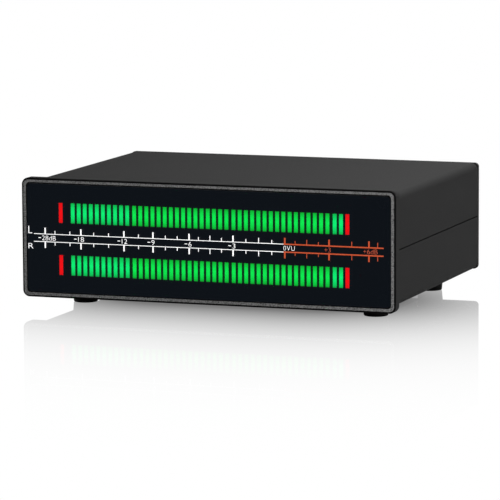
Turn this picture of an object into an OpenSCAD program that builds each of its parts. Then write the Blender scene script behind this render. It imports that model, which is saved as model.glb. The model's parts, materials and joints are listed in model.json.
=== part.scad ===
// Stereo level meter with two rows of light bars behind a dark window.
// Front faces -Y, height runs along +Z, and z = 0 is the surface under the feet.
// All sizes are in millimetres.

/* [Case] */
// Width of the two case halves
body_w = 169.4; // [150:0.1:220]
// Height of the two case halves together
body_h = 48.7; // [46:0.1:70]
// Length of the case halves, front to back
body_len = 124; // [90:1:200]
// Wall of the extruded halves
wall = 1.6; // [1.4:0.1:2.4]
// Outside radius of the four long edges
edge_r = 3; // [2:0.1:4]
// Open line between the halves, seen from the side
seam_gap = 0.35; // [0.2:0.05:0.8]
// Height of the tongue above the middle of the case
tongue_h = 1.5; // [1:0.1:3]
// Play between tongue and lip
seam_play = 0.1; // [0.05:0.05:0.2]
// Outside radius of a screw port
port_r = 2.6; // [2.2:0.1:3.2]
// Screw port centre from the side of the case
port_in_x = 5.2; // [4.6:0.1:7]
// Screw port centre from the top or bottom of the case
port_in_z = 3.4; // [3.2:0.1:3.8]

/* [Bezel] */
// How far the bezel stands out of each side of the case
bezel_side = 1.3; // [0.5:0.1:3]
// How far the bezel reaches above the case
bezel_rise = 1.9; // [0.5:0.1:3]
// Thickness of the front bezel
bezel_t = 5; // [4.8:0.1:8]
// Corner radius of the front bezel
bezel_r = 3; // [2.5:0.1:5]
// How far the bezel reaches below the case
bezel_drop = 2.1; // [0.5:0.1:3]
// Broken front edge of the bezel
edge_break = 0.5; // [0.2:0.1:1]
// Width of the rim around the window
rim_w = 2.2; // [1.5:0.1:3]

/* [Window] */
// Thickness of the window
window_t = 2; // [1.5:0.1:2.2]
// Corner radius of the window
window_r = 2; // [1:0.1:4]
// Depth of the window's face behind the rim
window_recess = 0.3; // [0.1:0.05:0.5]
// Gap around the window's edge
window_play = 0.15; // [0.05:0.05:0.3]
// Thickness of the window's tape
tape_t = 0.4; // [0.2:0.05:0.5]
// Width of the window's tape
tape_w = 1.2; // [0.8:0.1:2]

/* [Light bars] */
// Dark gap between two segments
seg_gap = 0.8; // [0.6:0.05:1.1]
// Height of a segment
seg_h = 9.1; // [6:0.1:10]
// Depth of the cast segment in its housing
seg_d = 4; // [2:0.5:6]
// Extra space between two housings
group_gap = 0.42; // [0.1:0.01:0.6]
// Window opening left of the first housing
row_left = 2.42; // [1.5:0.01:4]
// Window opening right of the last housing
row_right = 10.29; // [6:0.01:14]
// Space between the lower channel and the screw heads under it
row_low_gap = 0.3; // [0.2:0.05:1.5]
// Space between the upper channel and the screw heads over it
row_high_gap = 1.85; // [1.5:0.05:3]
// Housing wall above and below the segments
housing_edge = 0.75; // [0.5:0.05:1]
// Depth of a housing, front to back
housing_d = 8; // [6.5:0.5:10]
// Play between a cast segment and its pocket
pocket_play = 0.03; // [0.01:0.01:0.1]
// Space between the window and the housings
air_gap = 0.7; // [0.5:0.1:1]
// Space between a housing and its slot in the bezel
slot_play = 0.2; // [0.1:0.05:0.25]

/* [Boards] */
// Thickness of the circuit boards
board_t = 1.6; // [1:0.1:2]
// Space around the boards in their rails and in the case
board_play = 0.3; // [0.1:0.05:0.4]
// Underside of the main board above the inside floor
board_rise = 7; // [6.2:0.1:8]
// Depth of a board rail
rail_d = 1.4; // [1:0.1:1.4]
// Thickness of a board rail
rail_t = 1.2; // [0.8:0.1:1.5]
// Gap from the display board to the main board
board_step = 5.4; // [5:0.1:10]
// Gap from the main board to the rear panel
board_back = 3; // [3:0.5:4]
// Space between the display board and the screw ports under it
display_gap = 0.2; // [0.1:0.05:0.5]
// Outside radius of a spacer
spacer_r = 2.4; // [2:0.1:3]
// Distance from the middle spacers to the centre line
spacer_inner_x = 23; // [15:1:35]
// Outer spacers, from the side of the display board
spacer_in_x = 11.4; // [8:0.1:30]
// Pins in the board link
link_pins_n = 20; // [8:1:24]
// Distance between two pins of the board link
link_pitch = 2.54; // [2:0.01:2.54]

/* [Rear panel] */
// Thickness of the rear panel
rear_t = 2; // [1.5:0.1:3]
// Gap between the rear panel and what stands behind it
panel_gap = 0.3; // [0.1:0.1:0.5]

/* [Phono sockets] */
// Middle of the input pair, as a share of the half width
inputs_at = 0.65; // [0.62:0.005:0.7]
// Middle of the output pair, as a share of the half width
outputs_at = 0.225; // [0.2:0.005:0.24]
// Distance between the two sockets of a pair
phono_pitch = 14; // [14:0.1:16]
// Socket centre above the main board
phono_z = 10.5; // [9:0.1:12]
// Outside radius of a socket's shell
phono_r = 4.15; // [4:0.05:4.2]
// How far a socket stands out of the panel
phono_out = 8.5; // [7:0.1:10]
// Depth of a socket's block
phono_d = 13; // [12:0.5:18]

/* [Level control] */
// Shaft centre, as a share of the half width
level_at = 0.165; // [0.14:0.005:0.19]
// Shaft centre above the main board
level_z = 10.5; // [9:0.1:12]
// Radius of the shaft
shaft_r = 3; // [2.5:0.1:3]
// Radius of the threaded bush
bush_r = 3.5; // [3.5:0.1:3.8]
// Radius of the knob
knob_r = 7.5; // [7.4:0.1:9]
// Length of the knob
knob_len = 13; // [12:0.5:18]
// Space between the knob and the panel
knob_gap = 1; // [0.5:0.1:2]
// Grooves around the knob
knob_flutes = 30; // [12:1:36]

/* [Power switch] */
// Lever centre, as a share of the half width
switch_at = 0.826; // [0.78:0.002:0.85]
// Lever centre above the main board
switch_z = 6.35; // [6.3:0.05:8]
// Radius of the switch's threaded bush
switch_bush_r = 3; // [3:0.1:3.2]
// Lever's tilt at each end of its throw
lever_tilt = 12; // [8:1:12]
// How far the lever's tip stands out of the panel
lever_out = 12.5; // [10:0.5:13]

/* [Mode button] */
// Button centre, as a share of the half width
mode_at = 0.4; // [0.36:0.005:0.42]
// Button centre above the main board
mode_z = 6.5; // [6:0.1:9]
// Radius of the button
mode_r = 3; // [2.5:0.1:3.5]
// How far the button stands out of the panel
mode_out = 1.8; // [1.2:0.1:3]
// Travel of the button
mode_travel = 0.8; // [0.3:0.1:1]

/* [Power socket] */
// Socket centre, as a share of the half width
socket_at = 0.614; // [0.59:0.002:0.66]
// Socket centre above the main board
socket_z = 6.5; // [6:0.1:8]
// Radius of the socket's hole
socket_r = 3.15; // [2.8:0.05:3.2]
// Radius of the socket's centre pin
socket_pin_r = 1.05; // [0.8:0.05:1.3]

/* [Feet] */
// Height of a foot
foot_h = 7.6; // [5:0.1:12]
// Radius of a foot under the case
foot_top_r = 6; // [5:0.1:8]
// Radius of a foot on the table
foot_low_r = 5.35; // [4.6:0.05:7]
// Broken edge of a foot
foot_edge = 0.4; // [0.2:0.1:0.6]
// Foot centres, from the side of the case
foot_in_x = 16.8; // [14.8:0.1:30]
// Front feet, behind the front of the case halves
foot_front = 24; // [12:0.5:35]
// Rear feet, ahead of the back of the case halves
foot_back = 19.1; // [12:0.5:30]

/* [Fasteners] */
// Radius of the case screws
screw_r = 1.5; // [1.2:0.05:1.5]
// Radius of a case screw's head
head_r = 2.75; // [2.6:0.05:2.8]
// Height of a case screw's head
head_h = 1.7; // [1.5:0.1:2]
// Length of a case screw under its head
screw_len = 8; // [6:0.5:14]
// Radius of the display board's screws
small_screw_r = 1.2; // [0.9:0.05:1.2]
// Play between a screw and its hole
screw_play = 0.05; // [0.02:0.01:0.1]
// Key size of the screw heads
key_af = 2; // [1.5:0.1:2.2]

/* [Hidden] */

$fn = 64;
hull_fn = 32;
over = 1; // how far a cut runs past the face it opens

// Colours
case_black = [0.12, 0.12, 0.13];
rim_grey = [0.22, 0.22, 0.23];
window_black = [0.05, 0.06, 0.09, 0.5];
board_green = [0.06, 0.22, 0.12];
steel = [0.62, 0.62, 0.64];
brass = [0.80, 0.66, 0.32];
moulded_black = [0.09, 0.09, 0.09];
lamp_green = [0.05, 0.95, 0.40];
lamp_red = [0.92, 0.05, 0.04];
lamp_dark = [0.10, 0.11, 0.12];

// Places along the case
knob_out = knob_gap + knob_len;
depth = bezel_t + body_len + rear_t + knob_out;
front_y = -depth / 2;
shell_y = front_y + bezel_t;
panel_y = shell_y + body_len;
rear_y = panel_y + rear_t;

// Bezel and heights
bezel_w = body_w + 2 * bezel_side;
bezel_h = body_h + bezel_drop + bezel_rise;
body_z = foot_h;
mid_z = body_z + body_h / 2;
floor_z = body_z + wall;
bezel_z = body_z - bezel_drop;
bezel_mid_z = bezel_z + bezel_h / 2;

// Window and its pocket
opening_w = bezel_w - 2 * rim_w;
opening_h = bezel_h - 2 * rim_w;
pane_w = opening_w - 2 * window_play;
pane_h = opening_h - 2 * window_play;
pane_y = front_y + window_recess;
tape_y = pane_y + window_t;
ledge_y = tape_y + tape_t;
tape_in = 0.5; // from the window's edge to the tape
sunk_y = ledge_y + 0.1; // flat end of the sunk screw heads

// Light bars
groups = [16, 16, 16, 6];
lit_green = [6, 49];
lit_red = [4, 50];
bar_y = tape_y + air_gap;
housing_h = seg_h + 2 * housing_edge;
row_x = -opening_w / 2 + row_left;
row_len = opening_w - row_left - row_right;
seg_pitch = (row_len - (len(groups) - 1) * group_gap) / sum(groups);
seg_w = seg_pitch - seg_gap;
head_room = head_r + 2 * screw_play + slot_play + housing_h / 2;
rows = [
    body_z + port_in_z + head_room + row_low_gap,
    body_z + body_h - port_in_z - head_room - row_high_gap
];
scale_z = (rows[0] + rows[1]) / 2;

// Boards
display_y = bar_y + housing_d;
display_back = display_y + board_t;
display_w = body_w - 2 * (wall + rail_d + board_play);
display_h = 2 * (scale_z - body_z - port_in_z - port_r - display_gap);
main_w = body_w - 2 * (wall + board_play);
main_y = display_back + board_step;
main_len = panel_y - board_back - main_y;
main_z = floor_z + board_rise;
deck_z = main_z + board_t;
spacer_outer_x = display_w / 2 - spacer_in_x;
spacers_x = [-spacer_outer_x, -spacer_inner_x, spacer_inner_x, spacer_outer_x];
spacer_y = shell_y;
small_head_r = small_screw_r * 1.9;
small_head_h = 1.5;
small_hole_r = small_screw_r + screw_play;
thread_y = ledge_y + 0.6; // end of the blind holes in the bezel

// Places across the rear panel
half_w = body_w / 2;
inputs_x = inputs_at * half_w;
outputs_x = outputs_at * half_w;
level_x = -level_at * half_w;
mode_x = -mode_at * half_w;
socket_x = -socket_at * half_w;
switch_x = -switch_at * half_w;

// Screw ports
ports = [for (sx = [-1, 1], sz = [-1, 1]) [sx * (body_w / 2 - port_in_x), sz * (body_h / 2 - port_in_z)]];
hole_r = screw_r + screw_play;

// Feet
foot_x = half_w - foot_in_x;
feet_xy = [for (sx = [-1, 1], y = [shell_y + foot_front, panel_y - foot_back]) [sx * foot_x, y]];
foot_skin = 3; // rubber between the case and the screw's head
foot_bore_r = head_r + 0.5;
nut_af = 5.5;
nut_h = 2.4;
nut_past = 0.6; // screw end beyond its nut

// Phono sockets
phono_height = deck_z + phono_z;
phono_pairs = [inputs_x, outputs_x];
phono_places = [for (x = phono_pairs, s = [-1, 1]) [x + s * phono_pitch / 2, s]];
phono_wall = 0.6;
phono_core_r = phono_r - phono_wall;
contact_r = 2.1;
contact_bore_r = 1.6;
fit = 0.03; // between pieces that are pressed together
phono_deep = 8; // how far a shell reaches into its block
phono_end = panel_y - panel_gap - phono_deep;
phono_tip = rear_y + phono_out;
phono_neck_r = phono_r - 0.2; // inside the panel and the block
phono_screw_up = 5; // from a pair's middle up to its screw
phono_chamfer = 0.25;
phono_play = 0.2; // around a shell in the panel
insulator_in = 0.6; // from the shell's mouth to the insulator
contact_in = 2; // from the shell's mouth to the contact
contact_play = 0.1;

function sum(list, i = 0) = i < len(list) ? list[i] + sum(list, i + 1) : 0;
// Group and segment numbers to the segment's centre
function group_start(g) = g == 0 ? 0 : group_start(g - 1) + groups[g - 1];
function seg_x(g, i) = row_x + (group_start(g) + i + 0.5) * seg_pitch + g * group_gap;
function group_x(g) = seg_x(g, 0) - seg_pitch / 2;

// ---------- Shared shapes ----------

// Round bar along Y
module rod(r, y0, y1) {
    translate([0, y0, 0]) rotate([-90, 0, 0]) cylinder(r = r, h = y1 - y0);
}

// Cone along Y
module taper(r0, r1, y0, y1) {
    translate([0, y0, 0]) rotate([-90, 0, 0]) cylinder(r1 = r0, r2 = r1, h = y1 - y0);
}

// Six-sided bar along Y, af across its flats
module hex_rod(af, y0, y1) {
    translate([0, y0, 0]) rotate([-90, 0, 0]) cylinder(d = af / cos(30), h = y1 - y0, $fn = 6);
}

// Outline drawn in X and Z, made a plate from y0 to y1
module plate(y0, y1) {
    translate([0, y1, 0]) rotate([90, 0, 0]) linear_extrude(y1 - y0) children();
}

// Block that stands on z0, centred on x
module block(x, y0, z0, size) {
    translate([x - size[0] / 2, y0, z0]) cube(size);
}

module rounded(w, h, r) {
    square([w - 2 * r, h], center = true);
    square([w, h - 2 * r], center = true);
    for (sx = [-1, 1], sz = [-1, 1]) translate([sx * (w / 2 - r), sz * (h / 2 - r)]) circle(r = r);
}

module at_ports() {
    for (p = ports) translate([p[0], 0, mid_z + p[1]]) children();
}

module at_spacers() {
    for (x = spacers_x) translate([x, 0, scale_z]) children();
}

module at_feet() {
    for (p = feet_xy) translate([p[0], p[1], 0]) children();
}

// Chip sizes
chip_w = 3.9;
chip_h = 1.75;
driver_len = 9.9;
audio_len = 4.9;
lead_pitch = 1.27;
lead_reach = 1.05;
processor_w = 10;
processor_h = 1.4;
processor_pitch = 0.8;
processor_reach = 1;
regulator_w = 6.5;
regulator_len = 6.1;
regulator_h = 2.3;
regulator_pitch = 4.56;
regulator_reach = 1.6;

// A flat-bodied chip with leads on its two long sides, lying on z = 0
module chip(w, l, h, leads, pitch, reach) {
    lead_w = 0.4;
    lead_t = 0.2;
    lift = 0.15;
    translate([-w / 2, -l / 2, lift]) cube([w, l, h - lift]);
    for (i = [0:leads - 1], s = [-1, 1]) {
        y = (i - (leads - 1) / 2) * pitch - lead_w / 2;
        knee = w / 2 + reach / 2;
        mirror([s > 0 ? 0 : 1, 0, 0]) {
            translate([knee, y, 0]) cube([reach / 2, lead_w, lead_t]);
            translate([knee - lead_t, y, 0]) cube([lead_t, lead_w, h / 2 + lead_t]);
            translate([w / 2, y, h / 2]) cube([reach / 2, lead_w, lead_t]);
        }
    }
}

// ---------- Front ----------

module bezel_blank() {
    hull() {
        plate(front_y + edge_break, shell_y) rounded(bezel_w, bezel_h, bezel_r, $fn = hull_fn);
        plate(front_y, shell_y)
            rounded(bezel_w - 2 * edge_break, bezel_h - 2 * edge_break, bezel_r - edge_break, $fn = hull_fn);
    }
}

module row_slots() {
    slot_w = row_len + 2 * slot_play;
    for (z = rows) translate([row_x - slot_play, ledge_y - over, z - housing_h / 2 - slot_play])
        cube([slot_w, bezel_t, housing_h + 2 * slot_play]);
}

module front_bezel() color(rim_grey) difference() {
    translate([0, 0, bezel_mid_z]) bezel_blank();
    translate([0, 0, bezel_mid_z]) plate(front_y - over, ledge_y)
        rounded(opening_w, opening_h, window_r + window_play);
    row_slots();
    at_ports() {
        rod(hole_r, ledge_y - over, shell_y + over);
        sunk_head(2 * screw_play);
        rod(head_r + 2 * screw_play, ledge_y - over, sunk_y);
    }
    at_spacers() rod(small_hole_r, thread_y, shell_y + over);
}

module display_window() color(window_black) translate([0, 0, bezel_mid_z])
    plate(pane_y, tape_y) rounded(pane_w, pane_h, window_r);

module window_tape() color(moulded_black) translate([0, 0, bezel_mid_z]) plate(tape_y, ledge_y) difference() {
    rounded(pane_w - 2 * tape_in, pane_h - 2 * tape_in, window_r);
    square([pane_w - 2 * (tape_in + tape_w), pane_h - 2 * (tape_in + tape_w)], center = true);
}

// Cone of a sunk screw head, or of its hole with some play
module sunk_head(play) {
    taper(head_r + play, screw_r + play, sunk_y, sunk_y + head_h);
}

// Sunk screws that hold the bezel to the case, under the window
module bezel_screws() color(steel) at_ports() difference() {
    union() {
        sunk_head(0);
        rod(screw_r, sunk_y, sunk_y + screw_len);
    }
    hex_rod(key_af, sunk_y - over, sunk_y + head_h / 2);
}

// ---------- Light bars ----------

module bar_housings() color(moulded_black) for (z = rows, g = [0:len(groups) - 1]) difference() {
    translate([group_x(g), bar_y, z - housing_h / 2]) cube([groups[g] * seg_pitch, housing_d, housing_h]);
    for (i = [0:groups[g] - 1])
        translate([seg_x(g, i) - seg_w / 2 - pocket_play, bar_y - over, z - seg_h / 2 - pocket_play])
            cube([seg_w + 2 * pocket_play, seg_d + over, seg_h + 2 * pocket_play]);
}

// Segments of both rows whose number lies in the range from first to last
module segments(first, last) {
    for (z = rows, g = [0:len(groups) - 1], i = [0:groups[g] - 1]) {
        n = group_start(g) + i;
        if (n >= first && n <= last) translate([seg_x(g, i) - seg_w / 2, bar_y, z - seg_h / 2])
            cube([seg_w, seg_d, seg_h]);
    }
}

module green_segments() color(lamp_green) segments(lit_green[0], lit_green[1]);

module red_segments() color(lamp_red) for (n = lit_red) segments(n, n);

module dark_segments() color(lamp_dark) {
    segments(0, lit_red[0] - 1);
    segments(lit_red[0] + 1, lit_green[0] - 1);
    segments(lit_red[1] + 1, sum(groups) - 1);
}

// ---------- Display board ----------

module display_board() color(board_green) difference() {
    translate([-display_w / 2, display_y, scale_z - display_h / 2]) cube([display_w, board_t, display_h]);
    at_spacers() rod(small_hole_r, display_y - over, display_back + over);
}

module display_spacers() color(brass) at_spacers() difference() {
    rod(spacer_r, spacer_y, display_y);
    rod(small_hole_r, spacer_y - over, display_y + over);
}

module display_screws() color(steel) at_spacers() difference() {
    union() {
        rod(small_screw_r, thread_y + 0.2, display_back + small_head_h / 2);
        rod(small_head_r, display_back, display_back + small_head_h);
    }
    hex_rod(key_af * 0.8, display_back + small_head_h / 2, display_back + small_head_h + over);
}

chips_n = 7;
chip_step = display_w / (chips_n + 0.75);
chip_z = scale_z + display_h * 0.27;

module driver_chips() color(moulded_black) for (i = [0:chips_n - 1])
    translate([(i - (chips_n - 1) / 2) * chip_step, display_back, chip_z])
        rotate([-90, 0, 0]) rotate(90) chip(chip_w, driver_len, chip_h, 8, lead_pitch, lead_reach);

// Board link: socket on the display board, header on the main board
link_w = link_pins_n * link_pitch;
link_h = 2.5;
link_z = deck_z + link_h / 2;
socket_d = 8.5;
pin_t = 0.64;
header_gap = 1;
header_y = display_back + socket_d + header_gap;

module link_socket() color(moulded_black) difference() {
    block(0, display_back, link_z - link_h / 2 + 0.05, [link_w, socket_d, link_h]);
    for (i = [0:link_pins_n - 1]) block(link_x(i), display_back + 2, link_z - pin_t / 2 - 0.1,
        [pin_t + 0.2, socket_d, pin_t + 0.2]);
}

function link_x(i) = (i - (link_pins_n - 1) / 2) * link_pitch;

module link_header() color(moulded_black) difference() {
    block(0, header_y, deck_z, [link_w, link_h, link_h]);
    for (i = [0:link_pins_n - 1]) block(link_x(i), header_y - over, link_z - pin_t / 2 - fit,
        [pin_t + 2 * fit, link_h + 2 * over, pin_t + 2 * fit]);
}

module link_pins() color(brass) for (i = [0:link_pins_n - 1]) {
    tail_y = header_y + link_h + header_gap;
    block(link_x(i), display_back + 3, link_z - pin_t / 2, [pin_t, tail_y - display_back - 3, pin_t]);
    block(link_x(i), tail_y - pin_t, deck_z, [pin_t, pin_t, link_h / 2 + pin_t / 2]);
}

// ---------- Case halves ----------

module case_outline() {
    rounded(body_w, body_h, edge_r);
}

module case_wall() difference() {
    case_outline();
    rounded(body_w - 2 * wall, body_h - 2 * wall, edge_r - wall);
}

// Thickness of the tongue, half the wall
tongue_t = wall / 2;

module side_strip(from_in, t, z0, z1) {
    for (s = [-1, 1]) {
        x = body_w / 2 - wall + from_in;
        translate([s > 0 ? x : -x - t, z0]) square([t, z1 - z0]);
    }
}

// Rails and screw ports of the lower half
module case_ribs() intersection() {
    case_outline();
    union() {
        low = -body_h / 2 + wall + board_rise;
        high = low + board_t + board_play;
        side_strip(-rail_d, rail_d + wall / 2, low - rail_t, low);
        side_strip(-rail_d, rail_d + wall / 2, high, high + rail_t);
        for (s = [-1, 1]) mirror([s > 0 ? 0 : 1, 0]) {
            px = body_w / 2 - port_in_x;
            pz = -body_h / 2 + port_in_z;
            translate([px, pz]) circle(r = port_r);
            translate([px - port_r, -body_h / 2 + wall / 2])
                square([port_r + port_in_x - wall / 2, port_in_z - wall / 2]);
            translate([px, pz]) square([port_in_x - wall / 2, port_r]);
        }
    }
}

module port_bores() {
    for (p = ports) translate(p) circle(r = hole_r);
}

module lower_section() difference() {
    union() {
        intersection() {
            case_wall();
            translate([-body_w / 2, -body_h / 2]) square([body_w, body_h / 2 - seam_gap / 2]);
        }
        side_strip(0, tongue_t, -seam_gap / 2 - wall, tongue_h);
        case_ribs();
    }
    port_bores();
}

module upper_section() difference() {
    union() {
        intersection() {
            case_wall();
            translate([-body_w / 2, seam_gap / 2]) square([body_w, body_h / 2]);
        }
        mirror([0, 1]) case_ribs();
    }
    side_strip(-over, tongue_t + seam_play + over, -over, tongue_h);
    port_bores();
}

module top_shell() color(case_black) translate([0, 0, mid_z]) plate(shell_y, panel_y) upper_section();

module bottom_shell() color(case_black) difference() {
    translate([0, 0, mid_z]) plate(shell_y, panel_y) lower_section();
    at_feet() translate([0, 0, body_z - over]) cylinder(r = hole_r, h = wall + 2 * over);
}

// ---------- Main board ----------

module main_board() color(board_green)
    translate([-main_w / 2, main_y, main_z]) cube([main_w, main_len, board_t]);

// Stands on the main board at x, share of the board's length from its front edge
module on_board(x, share) {
    translate([x, main_y + main_len * share, deck_z]) children();
}

module processor_chip() color(moulded_black) on_board(0, 0.5) for (turn = [0, 90])
    rotate(turn) chip(processor_w, processor_w, processor_h, 11, processor_pitch, processor_reach);

module audio_chips() color(moulded_black) for (x = phono_pairs) on_board(x, 0.62)
    chip(chip_w, audio_len, chip_h, 4, lead_pitch, lead_reach);

module regulator() color(moulded_black) on_board(socket_x, 0.6)
    chip(regulator_w, regulator_len, regulator_h, 2, regulator_pitch, regulator_reach);

inductor_w = 8;
inductor_h = 4.5;
inductor_ring_r = 3.4; // groove around the middle of its top
inductor_ring_w = 0.8;

module inductor() color(moulded_black) on_board(mode_x, 0.6) difference() {
    translate([-inductor_w / 2, -inductor_w / 2, 0]) cube([inductor_w, inductor_w, inductor_h]);
    translate([0, 0, inductor_h * 0.9]) difference() {
        cylinder(r = inductor_ring_r, h = inductor_h);
        translate([0, 0, -over]) cylinder(r = inductor_ring_r - inductor_ring_w, h = inductor_h + 2 * over);
    }
}

crystal_len = 6.2; // between the middles of its round ends
crystal_w = 3.8;
crystal_h = 3.5;
crystal_rim = 0.4;
crystal_rim_h = 0.5;

module oblong(length, w, h) {
    for (s = [-1, 1]) translate([s * length / 2, 0, 0]) cylinder(d = w, h = h);
    translate([-length / 2, -w / 2, 0]) cube([length, w, h]);
}

module crystal() color(steel) on_board(main_w * 0.1, 0.5) {
    oblong(crystal_len, crystal_w, crystal_h);
    oblong(crystal_len, crystal_w + 2 * crystal_rim, crystal_rim_h);
}

supply_cap_r = 5;
supply_cap_h = 16;
signal_cap_r = 3.15;
signal_cap_h = 11;

// One upright capacitor with a rolled groove and a sunk top
module capacitor(r, h) rotate_extrude() difference() {
    square([r, h]);
    translate([r, h * 0.12]) circle(r = r * 0.1, $fn = hull_fn);
    translate([-over, h * 0.98]) square([r * 0.88 + over, h]);
}

module capacitors() color([0.16, 0.18, 0.24]) {
    for (x = [switch_x, socket_x]) on_board(x, 0.42) capacitor(supply_cap_r, supply_cap_h);
    for (x = phono_pairs, s = [-1, 1]) on_board(x + s * phono_pitch / 2, 0.76)
        capacitor(signal_cap_r, signal_cap_h);
}

// ---------- Rear panel ----------

module rear_panel() color(case_black) difference() {
    translate([0, 0, mid_z]) plate(panel_y, rear_y) case_outline();
    at_ports() rod(hole_r, panel_y - over, rear_y + over);
    at_phonos() rod(phono_r + phono_play, panel_y - over, rear_y + over);
    at_phono_screws() rod(hole_r, panel_y - over, rear_y + over);
    at_level() rod(bush_r + 0.1, panel_y - over, rear_y + over);
    at_switch() rod(switch_bush_r + 0.1, panel_y - over, rear_y + over);
    at_mode() rod(mode_r + mode_play, panel_y - over, rear_y + over);
    at_socket() rod(socket_nose_r + 0.15, panel_y - over, rear_y + over);
}

module button_screw(y, length) difference() {
    union() {
        rod(screw_r, y - length, y + head_h / 2);
        rod(head_r, y, y + head_h * 0.6);
        taper(head_r, head_r * 0.72, y + head_h * 0.6, y + head_h);
    }
    hex_rod(key_af, y + head_h * 0.4, y + head_h + over);
}

module rear_screws() color(steel) at_ports() button_screw(rear_y, screw_len);

// ---------- Phono sockets ----------

block_side = 7; // from a socket's middle to the block's side
block_top = 7.5; // from a socket's middle to the block's top
block_w = phono_pitch + 2 * block_side;
block_h = phono_z + block_top;
block_y = panel_y - panel_gap - phono_d;

module at_phonos() {
    for (p = phono_places) translate([p[0], 0, phono_height]) children();
}

module at_phono_screws() {
    for (x = phono_pairs) translate([x, 0, phono_height + phono_screw_up]) children();
}

module phono_blocks() color(moulded_black) difference() {
    for (x = phono_pairs) block(x, block_y, deck_z, [block_w, phono_d, block_h]);
    at_phonos() rod(phono_neck_r + fit, phono_end, panel_y + over);
    at_phono_screws() rod(hole_r, rear_y - screw_len - over, panel_y + over);
}

module phono_shells() color(brass) at_phonos() difference() {
    union() {
        rod(phono_neck_r, phono_end, rear_y);
        rod(phono_r, rear_y, phono_tip - phono_chamfer);
        taper(phono_r, phono_r - phono_chamfer, phono_tip - phono_chamfer, phono_tip);
    }
    rod(phono_core_r, phono_end - over, phono_tip + over);
}

module insulator() difference() {
    rod(phono_core_r - fit, phono_end, phono_tip - insulator_in);
    rod(contact_r + fit, panel_y, phono_tip - contact_in);
    rod(contact_bore_r + contact_play, panel_y, phono_tip);
}

module white_insulators() color("white") for (p = phono_places) if (p[1] > 0)
    translate([p[0], 0, phono_height]) insulator();

module red_insulators() color("firebrick") for (p = phono_places) if (p[1] < 0)
    translate([p[0], 0, phono_height]) insulator();

module phono_contacts() color(brass) at_phonos() difference() {
    rod(contact_r, panel_y, phono_tip - contact_in - fit);
    rod(contact_bore_r, panel_y + 1, phono_tip);
}

module phono_screws() color(steel) at_phono_screws() button_screw(rear_y, screw_len);

// ---------- Level control ----------

level_d = 9;
level_size = 14;
level_face = panel_y - panel_gap;
bush_out = 4.5;
level_nut_h = 2;
level_nut_af = 10;
shaft_play = 0.05;
shaft_in = 6; // how far the shaft reaches into the control's body
knob_cap = 1.9; // solid end of the knob
knob_recess_r = level_nut_af / 2 / cos(30) + 0.5;
knob_recess = bush_out - knob_gap + 0.6;

module at_level() {
    translate([level_x, 0, deck_z + level_z]) children();
}

module level_control() color(steel) difference() {
    union() {
        block(level_x, level_face - level_d, deck_z, [level_size, level_d, level_z + level_size / 2]);
        at_level() rod(bush_r, level_face - over, rear_y + bush_out);
    }
    at_level() rod(shaft_r + shaft_play, level_face - shaft_in, rear_y + bush_out + over);
}

module level_nut() color(steel) at_level() difference() {
    hex_rod(level_nut_af, rear_y, rear_y + level_nut_h);
    rod(bush_r + fit, rear_y - over, rear_y + level_nut_h + over);
}

module level_shaft() color(steel) at_level()
    rod(shaft_r, level_face - shaft_in + 0.2, rear_y + knob_out - knob_cap - 0.1);

module level_knob() color(moulded_black) at_level() {
    back = rear_y + knob_gap;
    tip = rear_y + knob_out;
    tip_chamfer = 0.8;
    flute_r = 0.55;
    flute_start = 1.5;
    flute_end = 0.6;
    difference() {
        union() {
            rod(knob_r, back, tip - tip_chamfer);
            taper(knob_r, knob_r - tip_chamfer, tip - tip_chamfer, tip);
        }
        rod(knob_recess_r, back - over, back + knob_recess);
        rod(shaft_r + fit, back, tip - knob_cap);
        for (i = [0:knob_flutes - 1]) rotate([0, (i + 0.5) * 360 / knob_flutes, 0])
            translate([knob_r + flute_r * 0.35, 0, 0])
                rod(flute_r, back + flute_start, tip - tip_chamfer - flute_end, $fn = 24);
        translate([-0.5, tip - 0.5, knob_r * 0.35]) cube([1, 1, knob_r]);
    }
}

// ---------- Power switch ----------

switch_w = 7;
switch_size = 12.6;
switch_d = 9.5;
switch_out = 4.5;
lever_bore_r = 2.35;
lever_bore_in = 4.6; // depth of the lever's bore in the switch
ball_r = 2;
pivot_out = 0.5; // pivot ahead of the panel's outer face
lever_r = 1;
lever_tip_r = 1.5;
lever_tail = 4;
pivot_r = 0.5;
switch_nut_af = 8;
switch_nut_h = 1.8;

module at_switch() {
    translate([switch_x, 0, deck_z + switch_z]) children();
}

module at_pivot() {
    at_switch() translate([0, rear_y + pivot_out, 0]) children();
}

module cross_bar(r, length) {
    translate([-length / 2, 0, 0]) rotate([0, 90, 0]) cylinder(r = r, h = length);
}

module power_switch() color([0.12, 0.25, 0.5]) difference() {
    union() {
        block(switch_x, level_face - switch_d, deck_z, [switch_w, switch_d, switch_z + switch_size / 2]);
        at_switch() rod(switch_bush_r, level_face - over, rear_y + switch_out);
    }
    at_switch() rod(lever_bore_r, level_face - lever_bore_in, rear_y + switch_out + over);
    at_pivot() cross_bar(pivot_r + 0.02, 4 * switch_bush_r);
}

module power_switch_nut() color(steel) at_switch() difference() {
    hex_rod(switch_nut_af, rear_y, rear_y + switch_nut_h);
    rod(switch_bush_r + fit, rear_y - over, rear_y + switch_nut_h + over);
}

module power_lever() color(steel) at_pivot() rotate([lever_tilt, 0, 0]) difference() {
    length = lever_out - pivot_out - lever_tip_r;
    union() {
        sphere(r = ball_r);
        taper(lever_r, lever_tip_r, 0, length);
        translate([0, length, 0]) sphere(r = lever_tip_r);
        rod(lever_r, -lever_tail, 0);
    }
    cross_bar(pivot_r + 0.05, 4 * ball_r);
}

module lever_pin() color(steel) at_pivot() cross_bar(pivot_r, 2 * switch_bush_r - 0.3);

// ---------- Mode button ----------

mode_play = 0.1;
mode_flange = 1;
mode_flange_r = mode_r + 1;
mode_stem_r = 1.75;
mode_face = panel_y - 3.2; // front of the switch under the button
mode_body_w = 7;
mode_body_d = 5;

module at_mode() {
    translate([mode_x, 0, deck_z + mode_z]) children();
}

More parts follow.
